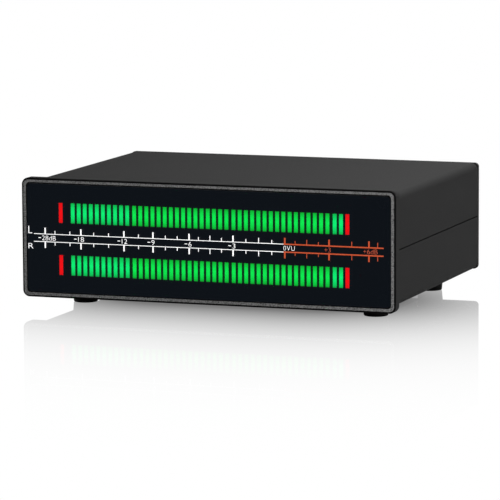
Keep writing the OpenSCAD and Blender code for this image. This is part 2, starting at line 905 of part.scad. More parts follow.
module mode_switch() color(moulded_black) difference() {
    block(mode_x, mode_face - mode_body_d, deck_z, [mode_body_w, mode_body_d, mode_z + mode_body_w / 2]);
    at_mode() rod(mode_stem_r + mode_play / 2, mode_face - 1.5 - mode_travel, mode_face + over);
}

module mode_button() color(moulded_black) at_mode() {
    seat = panel_y - mode_play / 2;
    soft = 0.4;
    rod(mode_r, seat - mode_flange / 2, rear_y + mode_out - soft);
    taper(mode_r, mode_r - soft, rear_y + mode_out - soft, rear_y + mode_out);
    rod(mode_flange_r, seat - mode_flange, seat);
    rod(mode_stem_r, mode_face - 1.2, seat);
}

// ---------- Power socket ----------

socket_w = 9;
socket_len = 12;
socket_nose_r = 4;
socket_deep = 9.5;
socket_floor = rear_y - socket_deep; // bottom of the socket's hole
socket_pin_len = 8.5;
socket_root = 1.4; // length of the pin's root in the housing
socket_root_r = socket_pin_r - 0.35;

module at_socket() {
    translate([socket_x, 0, deck_z + socket_z]) children();
}

module power_socket() color(moulded_black) difference() {
    union() {
        block(socket_x, level_face - socket_len, deck_z, [socket_w, socket_len, socket_z + socket_w / 2]);
        at_socket() rod(socket_nose_r, level_face - over, rear_y);
    }
    at_socket() rod(socket_r, socket_floor, rear_y + over);
    at_socket() rod(socket_root_r + fit, socket_floor - socket_root, socket_floor + over);
}

module power_socket_pin() color(brass) at_socket() {
    rod(socket_pin_r, socket_floor, socket_floor + socket_pin_len);
    rod(socket_root_r, socket_floor - socket_root, socket_floor);
}

// ---------- Feet ----------

module feet() color(moulded_black) at_feet() rotate_extrude() polygon([
    [foot_bore_r, 0],
    [foot_low_r - foot_edge, 0],
    [foot_low_r, foot_edge],
    [foot_top_r, foot_h],
    [screw_r + 0.1, foot_h],
    [screw_r + 0.1, foot_h - foot_skin],
    [foot_bore_r, foot_h - foot_skin]
]);

module foot_screws() color(steel) at_feet() {
    seat = foot_h - foot_skin;
    grip = foot_skin + wall + nut_h + nut_past;
    difference() {
        union() {
            translate([0, 0, seat - head_h]) cylinder(r = head_r, h = head_h);
            translate([0, 0, seat - head_h / 2]) cylinder(r = screw_r, h = head_h / 2 + grip);
        }
        translate([0, 0, seat - head_h - over])
            cylinder(d = key_af / cos(30), h = head_h * 0.6 + over, $fn = 6);
    }
}

module foot_nuts() color(steel) at_feet() translate([0, 0, floor_z]) difference() {
    cylinder(d = nut_af / cos(30), h = nut_h, $fn = 6);
    translate([0, 0, -over]) cylinder(r = hole_r, h = nut_h + 2 * over);
}

front_bezel();
display_window();
window_tape();
bezel_screws();
bar_housings();
green_segments();
red_segments();
dark_segments();
display_board();
display_spacers();
display_screws();
driver_chips();
link_socket();
link_header();
link_pins();
top_shell();
bottom_shell();
main_board();
processor_chip();
audio_chips();
regulator();
inductor();
crystal();
capacitors();
rear_panel();
rear_screws();
phono_blocks();
phono_shells();
white_insulators();
red_insulators();
phono_contacts();
phono_screws();
level_control();
level_nut();
level_shaft();
level_knob();
power_switch();
power_switch_nut();
power_lever();
lever_pin();
mode_switch();
mode_button();
power_socket();
power_socket_pin();
feet();
foot_screws();
foot_nuts();
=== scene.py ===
import json
import math

import bpy
from mathutils import Matrix, Vector


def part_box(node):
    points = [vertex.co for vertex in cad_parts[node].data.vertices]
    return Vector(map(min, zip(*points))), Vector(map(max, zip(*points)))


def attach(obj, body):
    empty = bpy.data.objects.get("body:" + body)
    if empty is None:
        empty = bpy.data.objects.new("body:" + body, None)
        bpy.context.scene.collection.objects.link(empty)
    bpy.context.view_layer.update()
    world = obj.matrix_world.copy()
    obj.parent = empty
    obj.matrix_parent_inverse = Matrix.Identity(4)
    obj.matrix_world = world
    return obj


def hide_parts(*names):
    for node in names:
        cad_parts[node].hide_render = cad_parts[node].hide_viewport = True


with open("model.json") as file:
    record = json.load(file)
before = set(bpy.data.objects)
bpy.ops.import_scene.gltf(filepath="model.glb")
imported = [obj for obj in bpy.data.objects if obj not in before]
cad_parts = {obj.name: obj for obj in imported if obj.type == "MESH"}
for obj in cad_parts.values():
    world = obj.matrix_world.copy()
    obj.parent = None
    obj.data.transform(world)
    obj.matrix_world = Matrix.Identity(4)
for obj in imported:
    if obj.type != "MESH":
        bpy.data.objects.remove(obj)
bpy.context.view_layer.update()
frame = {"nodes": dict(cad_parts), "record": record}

MM = 0.001
TOUCH = 0.001 * MM  # two places this near are the same

# ---------- Places taken from the frame ----------

bezel_low, bezel_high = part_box("front_bezel")
pane_low, pane_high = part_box("display_window")
ledge_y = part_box("window_tape")[1].y  # floor of the window's pocket, which the tape lies on
housing_low, housing_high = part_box("bar_housings")
green_low, green_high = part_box("green_segments")
shell_low, shell_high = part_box("top_shell")
panel_low, panel_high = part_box("rear_panel")

SEGMENT_SIZE = Vector((2.045, 4.0, 9.1)) * MM
SEGMENT_PITCH = 2.845 * MM
HOUSINGS = (16, 16, 16, 6)  # segments in each housing of a row
HOUSING_GAP = 0.42 * MM  # between two housings
HOUSING_EDGE = 0.75 * MM  # of a housing above and below its segments
FIRST_GREEN, LAST_GREEN = 6, 49  # segments of a row, counted from 0 at the left
LIT_RED = (4, 50)
UNLIT = (0, 1, 2, 3, 5, 51, 52, 53)
row_middles = (green_low.z + SEGMENT_SIZE.z / 2, green_high.z - SEGMENT_SIZE.z / 2)
scale_middle = (bezel_low.z + bezel_high.z) / 2

# ---------- Camera and lamps ----------

CAMERA_YAW = math.radians(19.650)
CAMERA_PITCH = math.radians(7.754)
CAMERA_ROLL = math.radians(-0.283)
CAMERA_DISTANCE = 1678.52 * MM
CAMERA_LENS = 270.15  # in millimetres, for the sensor's width below
CAMERA_SENSOR = 36.0
CAMERA_REACH = 40.0
AIM = Vector((-1.111, 60.0, 16.247)) * MM  # from the middle of the bezel's lower front edge


def add_camera():
    """Camera at the photograph's viewing angle: right of the front and a little above it."""
    ahead = Vector((
        -math.sin(CAMERA_YAW) * math.cos(CAMERA_PITCH),
        math.cos(CAMERA_YAW) * math.cos(CAMERA_PITCH),
        -math.sin(CAMERA_PITCH),
    ))
    level_right = Vector((math.cos(CAMERA_YAW), math.sin(CAMERA_YAW), 0.0))
    level_up = level_right.cross(ahead)
    right = level_right * math.cos(CAMERA_ROLL) + level_up * math.sin(CAMERA_ROLL)
    up = level_up * math.cos(CAMERA_ROLL) - level_right * math.sin(CAMERA_ROLL)
    data = bpy.data.cameras.new("camera")
    data.lens = CAMERA_LENS
    data.sensor_width = CAMERA_SENSOR
    data.clip_end = CAMERA_REACH
    camera = bpy.data.objects.new("camera", data)
    aim = Vector((0.0, bezel_low.y, bezel_low.z)) + AIM
    turn = Matrix((right, up, -ahead)).transposed().to_4x4()
    camera.matrix_world = Matrix.Translation(aim - ahead * CAMERA_DISTANCE) @ turn
    bpy.context.scene.collection.objects.link(camera)
    bpy.context.scene.camera = camera


SOFTBOX_SIZE = 0.25


def add_softbox(name, place, aim, power):
    """A square lamp that shines from its place to where it is aimed, in metres and watts."""
    data = bpy.data.lights.new(name, "AREA")
    data.size = SOFTBOX_SIZE
    data.energy = power
    light = bpy.data.objects.new(name, data)
    towards = (Vector(aim) - Vector(place)).to_track_quat("-Z", "Y")
    light.matrix_world = Matrix.Translation(place) @ towards.to_matrix().to_4x4()
    light.visible_camera = False
    bpy.context.scene.collection.objects.link(light)


# ---------- Node helpers ----------


def math_node(tree, operation, *values):
    """A maths node. Each value is a number, or a socket to link."""
    node = tree.nodes.new("ShaderNodeMath")
    node.operation = operation
    for number, value in enumerate(values):
        if isinstance(value, (int, float)):
            node.inputs[number].default_value = value
        else:
            tree.links.new(value, node.inputs[number])
    return node.outputs["Value"]


def map_range(tree, value, low, high, to_low=0.0, to_high=1.0):
    """A value spread from one range to another, and held at its ends."""
    node = tree.nodes.new("ShaderNodeMapRange")
    for label, number in (("From Min", low), ("From Max", high), ("To Min", to_low), ("To Max", to_high)):
        node.inputs[label].default_value = number
    tree.links.new(value, node.inputs["Value"])
    return node.outputs["Result"]


def split_place(tree):
    """X, Y and Z of the object's own coordinates."""
    coordinate = tree.nodes.new("ShaderNodeTexCoord")
    split = tree.nodes.new("ShaderNodeSeparateXYZ")
    tree.links.new(coordinate.outputs["Object"], split.inputs["Vector"])
    return split.outputs


def mix_value(tree, factor, first, second):
    """Number between two, by a socket that varies. Each is a number or a socket."""
    node = tree.nodes.new("ShaderNodeMix")
    tree.links.new(factor, node.inputs[0])
    for place, value in ((2, first), (3, second)):
        if isinstance(value, (int, float)):
            node.inputs[place].default_value = value
        else:
            tree.links.new(value, node.inputs[place])
    return node.outputs[0]


def feed(shader, label, value):
    """Links a value or a colour that varies to one of the shader's own sockets."""
    shader.id_data.links.new(value, shader.inputs[label])


# ---------- Room and floor ----------

ROOM_LIGHT = (0.1, 0.3)  # light that the room gives from the camera's side, and from behind the object
ROOM_MIRRORED = (0.35, 1.0)  # the same, as gloss and metal show it
ROOM_TURN = 0.6  # how far towards the front and the back the light goes on changing


def add_room():
    """White for the camera and the floor's mirror image. The rest of its light is dimmer."""
    world = bpy.data.worlds.new("room")
    bpy.context.scene.world = world
    world.use_nodes = True
    tree = world.node_tree
    tree.nodes.clear()
    output = tree.nodes.new("ShaderNodeOutputWorld")
    room = tree.nodes.new("ShaderNodeBackground")
    room.inputs["Color"].default_value = (1.0, 1.0, 1.0, 1.0)
    path = tree.nodes.new("ShaderNodeLightPath")
    coordinate = tree.nodes.new("ShaderNodeTexCoord")
    split = tree.nodes.new("ShaderNodeSeparateXYZ")
    tree.links.new(coordinate.outputs["Generated"], split.inputs["Vector"])
    light, mirrored = (
        map_range(tree, split.outputs["Y"], -ROOM_TURN, ROOM_TURN, *ends)
        for ends in (ROOM_LIGHT, ROOM_MIRRORED)
    )
    dimmed = mix_value(tree, path.outputs["Is Glossy Ray"], light, mirrored)
    plain = math_node(tree, "MAXIMUM", path.outputs["Is Camera Ray"], path.outputs["Is Singular Ray"])
    tree.links.new(mix_value(tree, plain, dimmed, 1.0), room.inputs["Strength"])
    tree.links.new(room.outputs["Background"], output.inputs["Surface"])


FLOOR_SIZE = 24.0
FLOOR_WHITE = 0.85  # of the light that falls on the floor, given back to the object
PAINTED_FLOOR_REFLECTION = (0.122, 0.165, 0.233)  # painted reflection: the fixed colour that the floor shows in the window's mirror image
FLOOR_GLOSS = 0.8  # most that the mirror image covers of the floor's white
UNDER_CASE = (Vector((50, -40)) * MM, Vector((72, 28)) * MM)  # between the two feet at the right
UNDER_CASE_SHADE = 0.15  # painted shade: share of the mirrored light that this part of the floor gives back
FADE_CORE = (Vector((-35.5, -4.5)) * MM, Vector((30.5, -4.5)) * MM)  # it fades away from this line
FADE_LENGTH = 68.2 * MM  # to a share of 1/e
FADE_POWER = 1.19
FADE_START = 1.31


def outside_distance(tree, low, high):
    """Distance on the floor from a rectangle, in metres."""
    place = split_place(tree)
    squares = []
    for axis, near, far in (("X", low.x, high.x), ("Y", low.y, high.y)):
        offset = math_node(tree, "SUBTRACT", place[axis], (near + far) / 2)
        away = math_node(tree, "SUBTRACT", math_node(tree, "ABSOLUTE", offset), (far - near) / 2)
        away = math_node(tree, "MAXIMUM", away, 0.0)
        squares.append(math_node(tree, "MULTIPLY", away, away))
    return math_node(tree, "SQRT", math_node(tree, "ADD", *squares))


def add_floor():
    """White floor with a mirror image that fades away from the case, dimmed by painted shade under the case,
    and a painted reflection of itself in the window.
    """
    bpy.ops.object.select_all(action="DESELECT")
    bpy.ops.mesh.primitive_grid_add(x_subdivisions=8, y_subdivisions=8, size=FLOOR_SIZE)
    floor = bpy.context.object
    floor.name = "floor"
    material = bpy.data.materials.new("white_floor")
    material.use_nodes = True
    tree = material.node_tree
    tree.nodes.clear()
    output = tree.nodes.new("ShaderNodeOutputMaterial")
    matt = tree.nodes.new("ShaderNodeBsdfDiffuse")
    matt.inputs["Color"].default_value = (FLOOR_WHITE, FLOOR_WHITE, FLOOR_WHITE, 1.0)
    lit = tree.nodes.new("ShaderNodeEmission")
    lit.inputs["Color"].default_value = (1.0, 1.0, 1.0, 1.0)
    gloss = tree.nodes.new("ShaderNodeBsdfGlossy")
    # painted shade: the mirror is dimmed under the case
    shaded_under_case = math_node(tree, "LESS_THAN", outside_distance(tree, *UNDER_CASE), TOUCH)
    tree.links.new(map_range(tree, shaded_under_case, 0.0, 1.0, 1.0, UNDER_CASE_SHADE), gloss.inputs["Color"])
    gloss.inputs["Roughness"].default_value = 0.0
    mirror = tree.nodes.new("ShaderNodeMixShader")
    far = math_node(tree, "DIVIDE", outside_distance(tree, *FADE_CORE), FADE_LENGTH)
    fallen = math_node(tree, "MULTIPLY", math_node(tree, "POWER", far, FADE_POWER), -1.0)
    fade = math_node(tree, "MULTIPLY", math_node(tree, "EXPONENT", fallen), FADE_START)
    tree.links.new(math_node(tree, "MINIMUM", fade, FLOOR_GLOSS), mirror.inputs["Fac"])
    tree.links.new(lit.outputs["Emission"], mirror.inputs[1])
    tree.links.new(gloss.outputs["BSDF"], mirror.inputs[2])
    # painted reflection of the floor, seen by mirror rays
    painted_reflection = tree.nodes.new("ShaderNodeEmission")
    painted_reflection.inputs["Color"].default_value = (*PAINTED_FLOOR_REFLECTION, 1.0)
    path = tree.nodes.new("ShaderNodeLightPath")
    shader = matt.outputs["BSDF"]
    for ray, other in (("Is Singular Ray", painted_reflection.outputs[0]), ("Is Camera Ray", mirror.outputs[0])):
        choice = tree.nodes.new("ShaderNodeMixShader")
        tree.links.new(path.outputs[ray], choice.inputs["Fac"])
        tree.links.new(shader, choice.inputs[1])
        tree.links.new(other, choice.inputs[2])
        shader = choice.outputs["Shader"]
    tree.links.new(shader, output.inputs["Surface"])
    floor.data.materials.append(material)


bpy.context.scene.view_settings.view_transform = "Standard"
add_camera()
add_room()
add_floor()
add_softbox("front_softbox", (0.42, -0.50, 0.28), (0.03, -0.07, 0.03), 0.71)
add_softbox("top_softbox", (0.20, -0.05, 0.30), (0.05, 0.0, 0.05), 0.86)
add_softbox("back_softbox", (0.10, 0.30, 0.35), (0.05, 0.0, 0.05), 2.0)
add_softbox("left_softbox", (-0.55, 0.05, 0.15), (-0.085, 0.0, 0.03), 0.6)

# ---------- Shared surface effects ----------

GRAIN_SPREAD = (0.35, 0.65)  # part of the noise that the grain's mask is made of
RELIEF_DEPTH = 0.05 * MM


def new_group(name, inputs, outputs):
    """A shader node group, with the nodes that hold its inputs and outputs."""
    group = bpy.data.node_groups.new(name, "ShaderNodeTree")
    for label, default in inputs:
        socket = group.interface.new_socket(label, in_out="INPUT", socket_type="NodeSocketFloat")
        socket.default_value = default
    for label in outputs:
        group.interface.new_socket(label, in_out="OUTPUT", socket_type="NodeSocketFloat")
    return group, group.nodes.new("NodeGroupInput"), group.nodes.new("NodeGroupOutput")


def build_grain():
    """Fine speckle of a sprayed, blasted or moulded skin, as a height and a mask."""
    group, given, made = new_group("grain", [("Size", 0.3)], ["Height", "Mask"])
    coordinate = group.nodes.new("ShaderNodeTexCoord")
    speckle = group.nodes.new("ShaderNodeTexNoise")
    speckle.inputs["Detail"].default_value = 2.0
    speckle.inputs["Roughness"].default_value = 0.6
    spread = group.nodes.new("ShaderNodeMapRange")
    spread.inputs["From Min"].default_value = GRAIN_SPREAD[0]
    spread.inputs["From Max"].default_value = GRAIN_SPREAD[1]
    link = group.links.new
    link(coordinate.outputs["Object"], speckle.inputs["Vector"])
    link(math_node(group, "DIVIDE", 1000.0, given.outputs["Size"]), speckle.inputs["Scale"])
    link(speckle.outputs["Fac"], spread.inputs["Value"])
    link(speckle.outputs["Fac"], made.inputs["Height"])
    link(spread.outputs["Result"], made.inputs["Mask"])
    return group


GRAIN = build_grain()


def place_group(tree, group, **values):
    """Puts a node group into a material, with its own values."""
    node = tree.nodes.new("ShaderNodeGroup")
    node.node_tree = group
    for label, value in values.items():
        node.inputs[label].default_value = value
    return node.outputs


def mix_colour(tree, factor, first, second):
    """Colour between two, by a socket that varies over the surface. Each is a colour or a socket."""
    node = tree.nodes.new("ShaderNodeMix")
    node.data_type = "RGBA"
    for label, colour in (("A", first), ("B", second)):
        socket = next(s for s in node.inputs if s.name == label and s.type == "RGBA")
        if isinstance(colour, tuple):
            socket.default_value = (*colour, 1.0)
        else:
            tree.links.new(colour, socket)
    tree.links.new(factor, next(s for s in node.inputs if s.name == "Factor" and s.type == "VALUE"))
    return next(s for s in node.outputs if s.type == "RGBA")


def new_material(name):
    """A material with its output and a Principled shader."""
    material = bpy.data.materials.new(name)
    material.use_nodes = True
    tree = material.node_tree
    tree.nodes.clear()
    output = tree.nodes.new("ShaderNodeOutputMaterial")
    shader = tree.nodes.new("ShaderNodeBsdfPrincipled")
    tree.links.new(shader.outputs["BSDF"], output.inputs["Surface"])
    return material, tree, shader


def add_relief(tree, shader, height, strength):
    """Fine relief from a height, by a Bump node."""
    relief = tree.nodes.new("ShaderNodeBump")
    relief.inputs["Strength"].default_value = strength
    relief.inputs["Distance"].default_value = RELIEF_DEPTH
    tree.links.new(height, relief.inputs["Height"])
    feed(shader, "Normal", relief.outputs["Normal"])


def grained(name, dark, light, roughness, size, bump, metallic=0.0, specular=0.5, spread=0.08):
    """A finish with a fine grain in its colour, gloss and relief."""
    material, tree, shader = new_material(name)
    grain = place_group(tree, GRAIN, Size=size)
    feed(shader, "Base Color", mix_colour(tree, grain["Mask"], dark, light))
    gloss = map_range(tree, grain["Mask"], 0.0, 1.0, roughness - spread, roughness + spread)
    feed(shader, "Roughness", gloss)
    add_relief(tree, shader, grain["Height"], bump)
    shader.inputs["Metallic"].default_value = metallic
    shader.inputs["Specular IOR Level"].default_value = specular
    return material


def grey(value):
    """A colour that is equal in red, green and blue."""
    return (value, value, value)


# ---------- Finishes of this meter ----------

BEZEL_R = 3.0 * MM
CASE_R = 3.0 * MM
WINDOW_R = 2.0 * MM
WINDOW_PLAY = 0.15 * MM
RIM_BREAK = 0.5 * MM  # broken edge round the front of the bezel
CASE_DARK = grey(0.0140)
CASE_LIGHT = grey(0.0190)
# painted shade in and beside the joint of the two case halves
PAINTED_JOINT_SHADE = grey(0.002)
COAT_ROUGHNESS = (0.80, 0.96)
JOINT_HALF = 0.175 * MM  # half the open width of the joint under the upper case half
JOINT_SHADE_DEPTH = (0.02 * MM, 0.05 * MM)  # inside the case's outline, in the joint and other recesses, where the coat is painted dark as shade
JOINT_SHADE_EDGE = (0.06 * MM, 0.12 * MM)  # beside the joint, where its painted shade ends
RIM_SKIN = 0.005 * MM  # depth of the bare front face
RIM_SHADE_WIDTH = 0.82 * MM  # how far the painted shade at the outer edge comes in over the rim from outside
POCKET_SIDES, POCKET_TOP = 0.15 * MM, 0.32 * MM  # and how far it comes out from the window's pocket
POCKET_SHADE_R = 1.6 * MM
EDGE_BLUR = 0.06 * MM
# near-black painted shade on the bezel's edges, beside the case and round the window's pocket
PAINTED_EDGE_SHADE = grey(0.003)
RIM_DARK = grey(0.06)
RIM_LIGHT = grey(0.36)
RIM_BROAD = 0.35  # share of the rim's coarse speckle
RIM_METALLIC = 0.5
RIM_ROUGHNESS = (0.55, 0.75)


def inside_edge(tree, place, low, high, radius):
    """How far a place lies inside a rounded rectangle, seen from the front."""
    over = []
    for axis, near, far in (("X", low.x, high.x), ("Z", low.z, high.z)):
        offset = math_node(tree, "ABSOLUTE", math_node(tree, "SUBTRACT", place[axis], (near + far) / 2))
        over.append(math_node(tree, "SUBTRACT", offset, (far - near) / 2 - radius))
    past = [math_node(tree, "POWER", math_node(tree, "MAXIMUM", one, 0.0), 2.0) for one in over]
    corner = math_node(tree, "SQRT", math_node(tree, "ADD", *past))
    flat = math_node(tree, "MINIMUM", math_node(tree, "MAXIMUM", *over), 0.0)
    return math_node(tree, "SUBTRACT", radius, math_node(tree, "ADD", corner, flat))


def case_coat():
    """Matt black sprayed coat, with painted shade in the joint of the two halves and on the joint's edges."""
    material, tree, shader = new_material("case_coat")
    grain = place_group(tree, GRAIN, Size=0.5)
    place = split_place(tree)
    # painted shade: near-black inside the case's outline and beside the joint
    inside_shade = map_range(tree, inside_edge(tree, place, panel_low, panel_high, CASE_R), *JOINT_SHADE_DEPTH)
    off_joint = math_node(tree, "ABSOLUTE", math_node(tree, "SUBTRACT", place["Z"], shell_low.z - JOINT_HALF))
    edges = map_range(tree, off_joint, *(JOINT_HALF + far for far in JOINT_SHADE_EDGE), 1.0, 0.0)
    coat = mix_colour(tree, grain["Mask"], CASE_DARK, CASE_LIGHT)
    dark = math_node(tree, "MAXIMUM", inside_shade, edges)
    feed(shader, "Base Color", mix_colour(tree, dark, coat, PAINTED_JOINT_SHADE))
    feed(shader, "Roughness", map_range(tree, grain["Mask"], 0.0, 1.0, *COAT_ROUGHNESS))
    add_relief(tree, shader, grain["Height"], 0.25)
    shader.inputs["Specular IOR Level"].default_value = 0.04
    return material


def rim_and_sides():
    """Bead-blasted bare front rim with painted shade at its outer edge and round the window's pocket, and the
    case's coat on the sides, painted near-black as shade next to the front.
    """
    material, tree, shader = new_material("bezel_finish")
    place = split_place(tree)
    outer = inside_edge(tree, place, bezel_low, bezel_high, BEZEL_R)
    low = pane_low - Vector((1, 0, 1)) * (WINDOW_PLAY + POCKET_SIDES)
    high = pane_high + Vector((WINDOW_PLAY + POCKET_SIDES, 0, WINDOW_PLAY + POCKET_TOP))
    pocket = inside_edge(tree, place, low, high, POCKET_SHADE_R)
    masks = (
        map_range(tree, place["Y"], bezel_low.y + RIM_SKIN, bezel_low.y + 4 * RIM_SKIN, 1.0, 0.0),
        map_range(tree, outer, RIM_SHADE_WIDTH - EDGE_BLUR, RIM_SHADE_WIDTH + EDGE_BLUR),
        map_range(tree, pocket, -EDGE_BLUR, EDGE_BLUR, 1.0, 0.0),
    )
    front = math_node(tree, "MULTIPLY", math_node(tree, "MULTIPLY", *masks[:2]), masks[2])
    # painted shade on the sides next to the front, reaching further back on top
    on_top = math_node(tree, "GREATER_THAN", place["Z"], bezel_high.z - BEZEL_R / 2)
    shade_end = map_range(tree, on_top, 0.0, 1.0, bezel_low.y + RIM_BREAK, bezel_low.y + 4 * RIM_BREAK)
    side = math_node(tree, "GREATER_THAN", place["Y"], shade_end)
    fine = place_group(tree, GRAIN, Size=0.55)
    broad = place_group(tree, GRAIN, Size=1.3)
    speckle = mix_value(tree, fine["Mask"], math_node(tree, "MULTIPLY", broad["Mask"], RIM_BROAD), 1.0)
    bare = mix_colour(tree, speckle, RIM_DARK, RIM_LIGHT)
    coat = mix_colour(tree, side, PAINTED_EDGE_SHADE, mix_colour(tree, fine["Mask"], CASE_DARK, CASE_LIGHT))
    feed(shader, "Base Color", mix_colour(tree, front, coat, bare))
    feed(shader, "Metallic", math_node(tree, "MULTIPLY", front, RIM_METALLIC))
    bare_gloss = map_range(tree, speckle, 0.0, 1.0, *RIM_ROUGHNESS)
    coat_gloss = map_range(tree, fine["Mask"], 0.0, 1.0, *COAT_ROUGHNESS)
    feed(shader, "Roughness", mix_value(tree, front, coat_gloss, bare_gloss))
    add_relief(tree, shader, fine["Height"], 0.35)
    shader.inputs["Specular IOR Level"].default_value = 0.05
    return material


WINDOW_TINT = 0.03  # share of the light that the window lets through
TINT_VARIES = 0.02


def smoked_window():
    """Smoke-tinted acrylic with a faint unevenness in its tint."""
    material, tree, shader = new_material("smoked_window")
    shader.inputs["Transmission Weight"].default_value = 1.0
    shader.inputs["IOR"].default_value = 1.49
    grain = place_group(tree, GRAIN, Size=6.0)
    tint = mix_colour(tree, grain["Mask"], *(grey(WINDOW_TINT * (1 + s * TINT_VARIES)) for s in (-1, 1)))
    feed(shader, "Base Color", tint)
    shader.inputs["Roughness"].default_value = 0.0
    return material


def segment_x(number):
    """Middle of a segment, counted from the left over all housings."""
    housing, first = 0, 0
    while number >= first + HOUSINGS[housing]:
        first += HOUSINGS[housing]
        housing += 1
    return housing_low.x + (number + 0.5) * SEGMENT_PITCH + housing * HOUSING_GAP


LIGHT_OFF = Vector((0.07, 0, 0.2)) * MM  # how far the light sits off a segment's middle


def row_falloff(tree, height):
    """0 at the brightest height of a light row, and 1 at the ends of its segments."""
    away = [
        math_node(tree, "ABSOLUTE", math_node(tree, "SUBTRACT", height, z + LIGHT_OFF.z)) for z in row_middles
    ]
    return math_node(tree, "DIVIDE", math_node(tree, "MINIMUM", *away), SEGMENT_SIZE.z / 2)


def across_segment(tree, x):
    """0 at the middle of a segment's width, and 1 at its two edges."""
    start = housing_low.x + LIGHT_OFF.x
    for housing in range(1, len(HOUSINGS)):
        edge = segment_x(sum(HOUSINGS[:housing])) - SEGMENT_PITCH / 2 - HOUSING_GAP / 2
        step = math_node(tree, "MULTIPLY", math_node(tree, "GREATER_THAN", x, edge), HOUSING_GAP)
        start = math_node(tree, "ADD", step, start)
    pitches = math_node(tree, "DIVIDE", math_node(tree, "SUBTRACT", x, start), SEGMENT_PITCH)
    off_middle = math_node(tree, "SUBTRACT", math_node(tree, "FRACT", pitches), 0.5)
    half_widths = 2 * SEGMENT_PITCH / SEGMENT_SIZE.x
    return math_node(tree, "MULTIPLY", math_node(tree, "ABSOLUTE", off_middle), half_widths)


GREEN = ((0.0, 0.88, 0.080), (0.0, 0.40, 0.018))  # in the middle of a segment's height, and at its ends
COOL_GREEN = ((0.0, 0.92, 0.18), (0.0, 0.42, 0.055))
RED = ((0.95, 0.0, 0.0), (0.80, 0.0, 0.0))
COOL_LEFT = -35.3 * MM  # the first housing of a row holds cooler green segments
COOL_RIGHT = 56.6 * MM  # and so does the last
LIGHT_POWER = 1.6  # how late the light falls off towards a segment's ends
SIDE_SHADE = (0.80, 0.90)  # where the shade at a segment's sides begins and ends, in half widths
END_SHADE = (0.955, 0.985)  # and the shade at its ends, in half heights
SEGMENT_SHADE = grey(0.002)
# painted glow on the housing between the lit segments
GAP_GLOW = (0.0, 0.014, 0.001)
GLOW_ENDS = (0.85, 1.02)  # where the glow between segments fades, in half heights
GLOW_SIDES = (1.1 * MM, 1.4 * MM)  # and how far beside the first and last green segment it ends


def lit_resin(name, warm, cool):
    """Cast resin lit from behind, brightest at the middle of its height."""
    material, tree, shader = new_material(name)
    place = split_place(tree)
    height = row_falloff(tree, place["Z"])
    falloff = math_node(tree, "POWER", height, LIGHT_POWER)
    left = math_node(tree, "LESS_THAN", place["X"], COOL_LEFT)
    right = math_node(tree, "GREATER_THAN", place["X"], COOL_RIGHT)
    light = mix_colour(
        tree, math_node(tree, "ADD", left, right),
        mix_colour(tree, falloff, *warm), mix_colour(tree, falloff, *cool),
    )
    at_sides = map_range(tree, across_segment(tree, place["X"]), *SIDE_SHADE)
    shade = math_node(tree, "MAXIMUM", at_sides, map_range(tree, height, *END_SHADE))
    feed(shader, "Emission Color", mix_colour(tree, shade, light, SEGMENT_SHADE))
    shader.inputs["Emission Strength"].default_value = 1.0 / WINDOW_TINT
    grain = place_group(tree, GRAIN, Size=0.4)
    feed(shader, "Base Color", mix_colour(tree, grain["Mask"], grey(0.01), grey(0.014)))
    feed(shader, "Roughness", map_range(tree, grain["Mask"], 0, 1, 0.42, 0.5))
    return material


def glowing_housing():
    """Black moulding with a painted green glow between the lit segments, where their light leaks."""
    material, tree, shader = new_material("segment_housing")
    place = split_place(tree)
    grain = place_group(tree, GRAIN, Size=0.4)
    feed(shader, "Base Color", mix_colour(tree, grain["Mask"], grey(0.009), grey(0.013)))
    feed(shader, "Roughness", map_range(tree, grain["Mask"], 0, 1, 0.5, 0.6))
    inside = map_range(tree, row_falloff(tree, place["Z"]), *GLOW_ENDS, 1.0, 0.0)
    first, last = segment_x(FIRST_GREEN), segment_x(LAST_GREEN)
    near, far = GLOW_SIDES
    after = map_range(tree, place["X"], first - far, first - near)
    before = map_range(tree, place["X"], last + near, last + far, 1.0, 0.0)
    glow = math_node(tree, "MULTIPLY", inside, math_node(tree, "MULTIPLY", after, before))
    feed(shader, "Emission Color", mix_colour(tree, glow, grey(0.0), GAP_GLOW))
    shader.inputs["Emission Strength"].default_value = 1.0 / WINDOW_TINT
    add_relief(tree, shader, grain["Height"], 0.2)
    return material


TRACK_SCALE = 160.0
TRACK_EDGE = (0.03, 0.06)
TRACK_GREEN = (0.020, 0.105, 0.045)


def circuit_board():
    """Solder resist over copper tracks, which show as paler, raised lines."""
    material, tree, shader = new_material("circuit_board")
    coordinate = tree.nodes.new("ShaderNodeTexCoord")
    cells = tree.nodes.new("ShaderNodeTexVoronoi")
    cells.feature = "DISTANCE_TO_EDGE"
    cells.inputs["Scale"].default_value = TRACK_SCALE
    tree.links.new(coordinate.outputs["Object"], cells.inputs["Vector"])
    track = map_range(tree, cells.outputs["Distance"], *TRACK_EDGE, 1.0, 0.0)
    grain = place_group(tree, GRAIN, Size=1.5)
    resist = mix_colour(tree, grain["Mask"], (0.008, 0.045, 0.020), (0.013, 0.060, 0.028))
    feed(shader, "Base Color", mix_colour(tree, track, resist, TRACK_GREEN))
    feed(shader, "Roughness", map_range(tree, grain["Mask"], 0, 1, 0.28, 0.38))
    add_relief(tree, shader, track, 0.3)
    return material


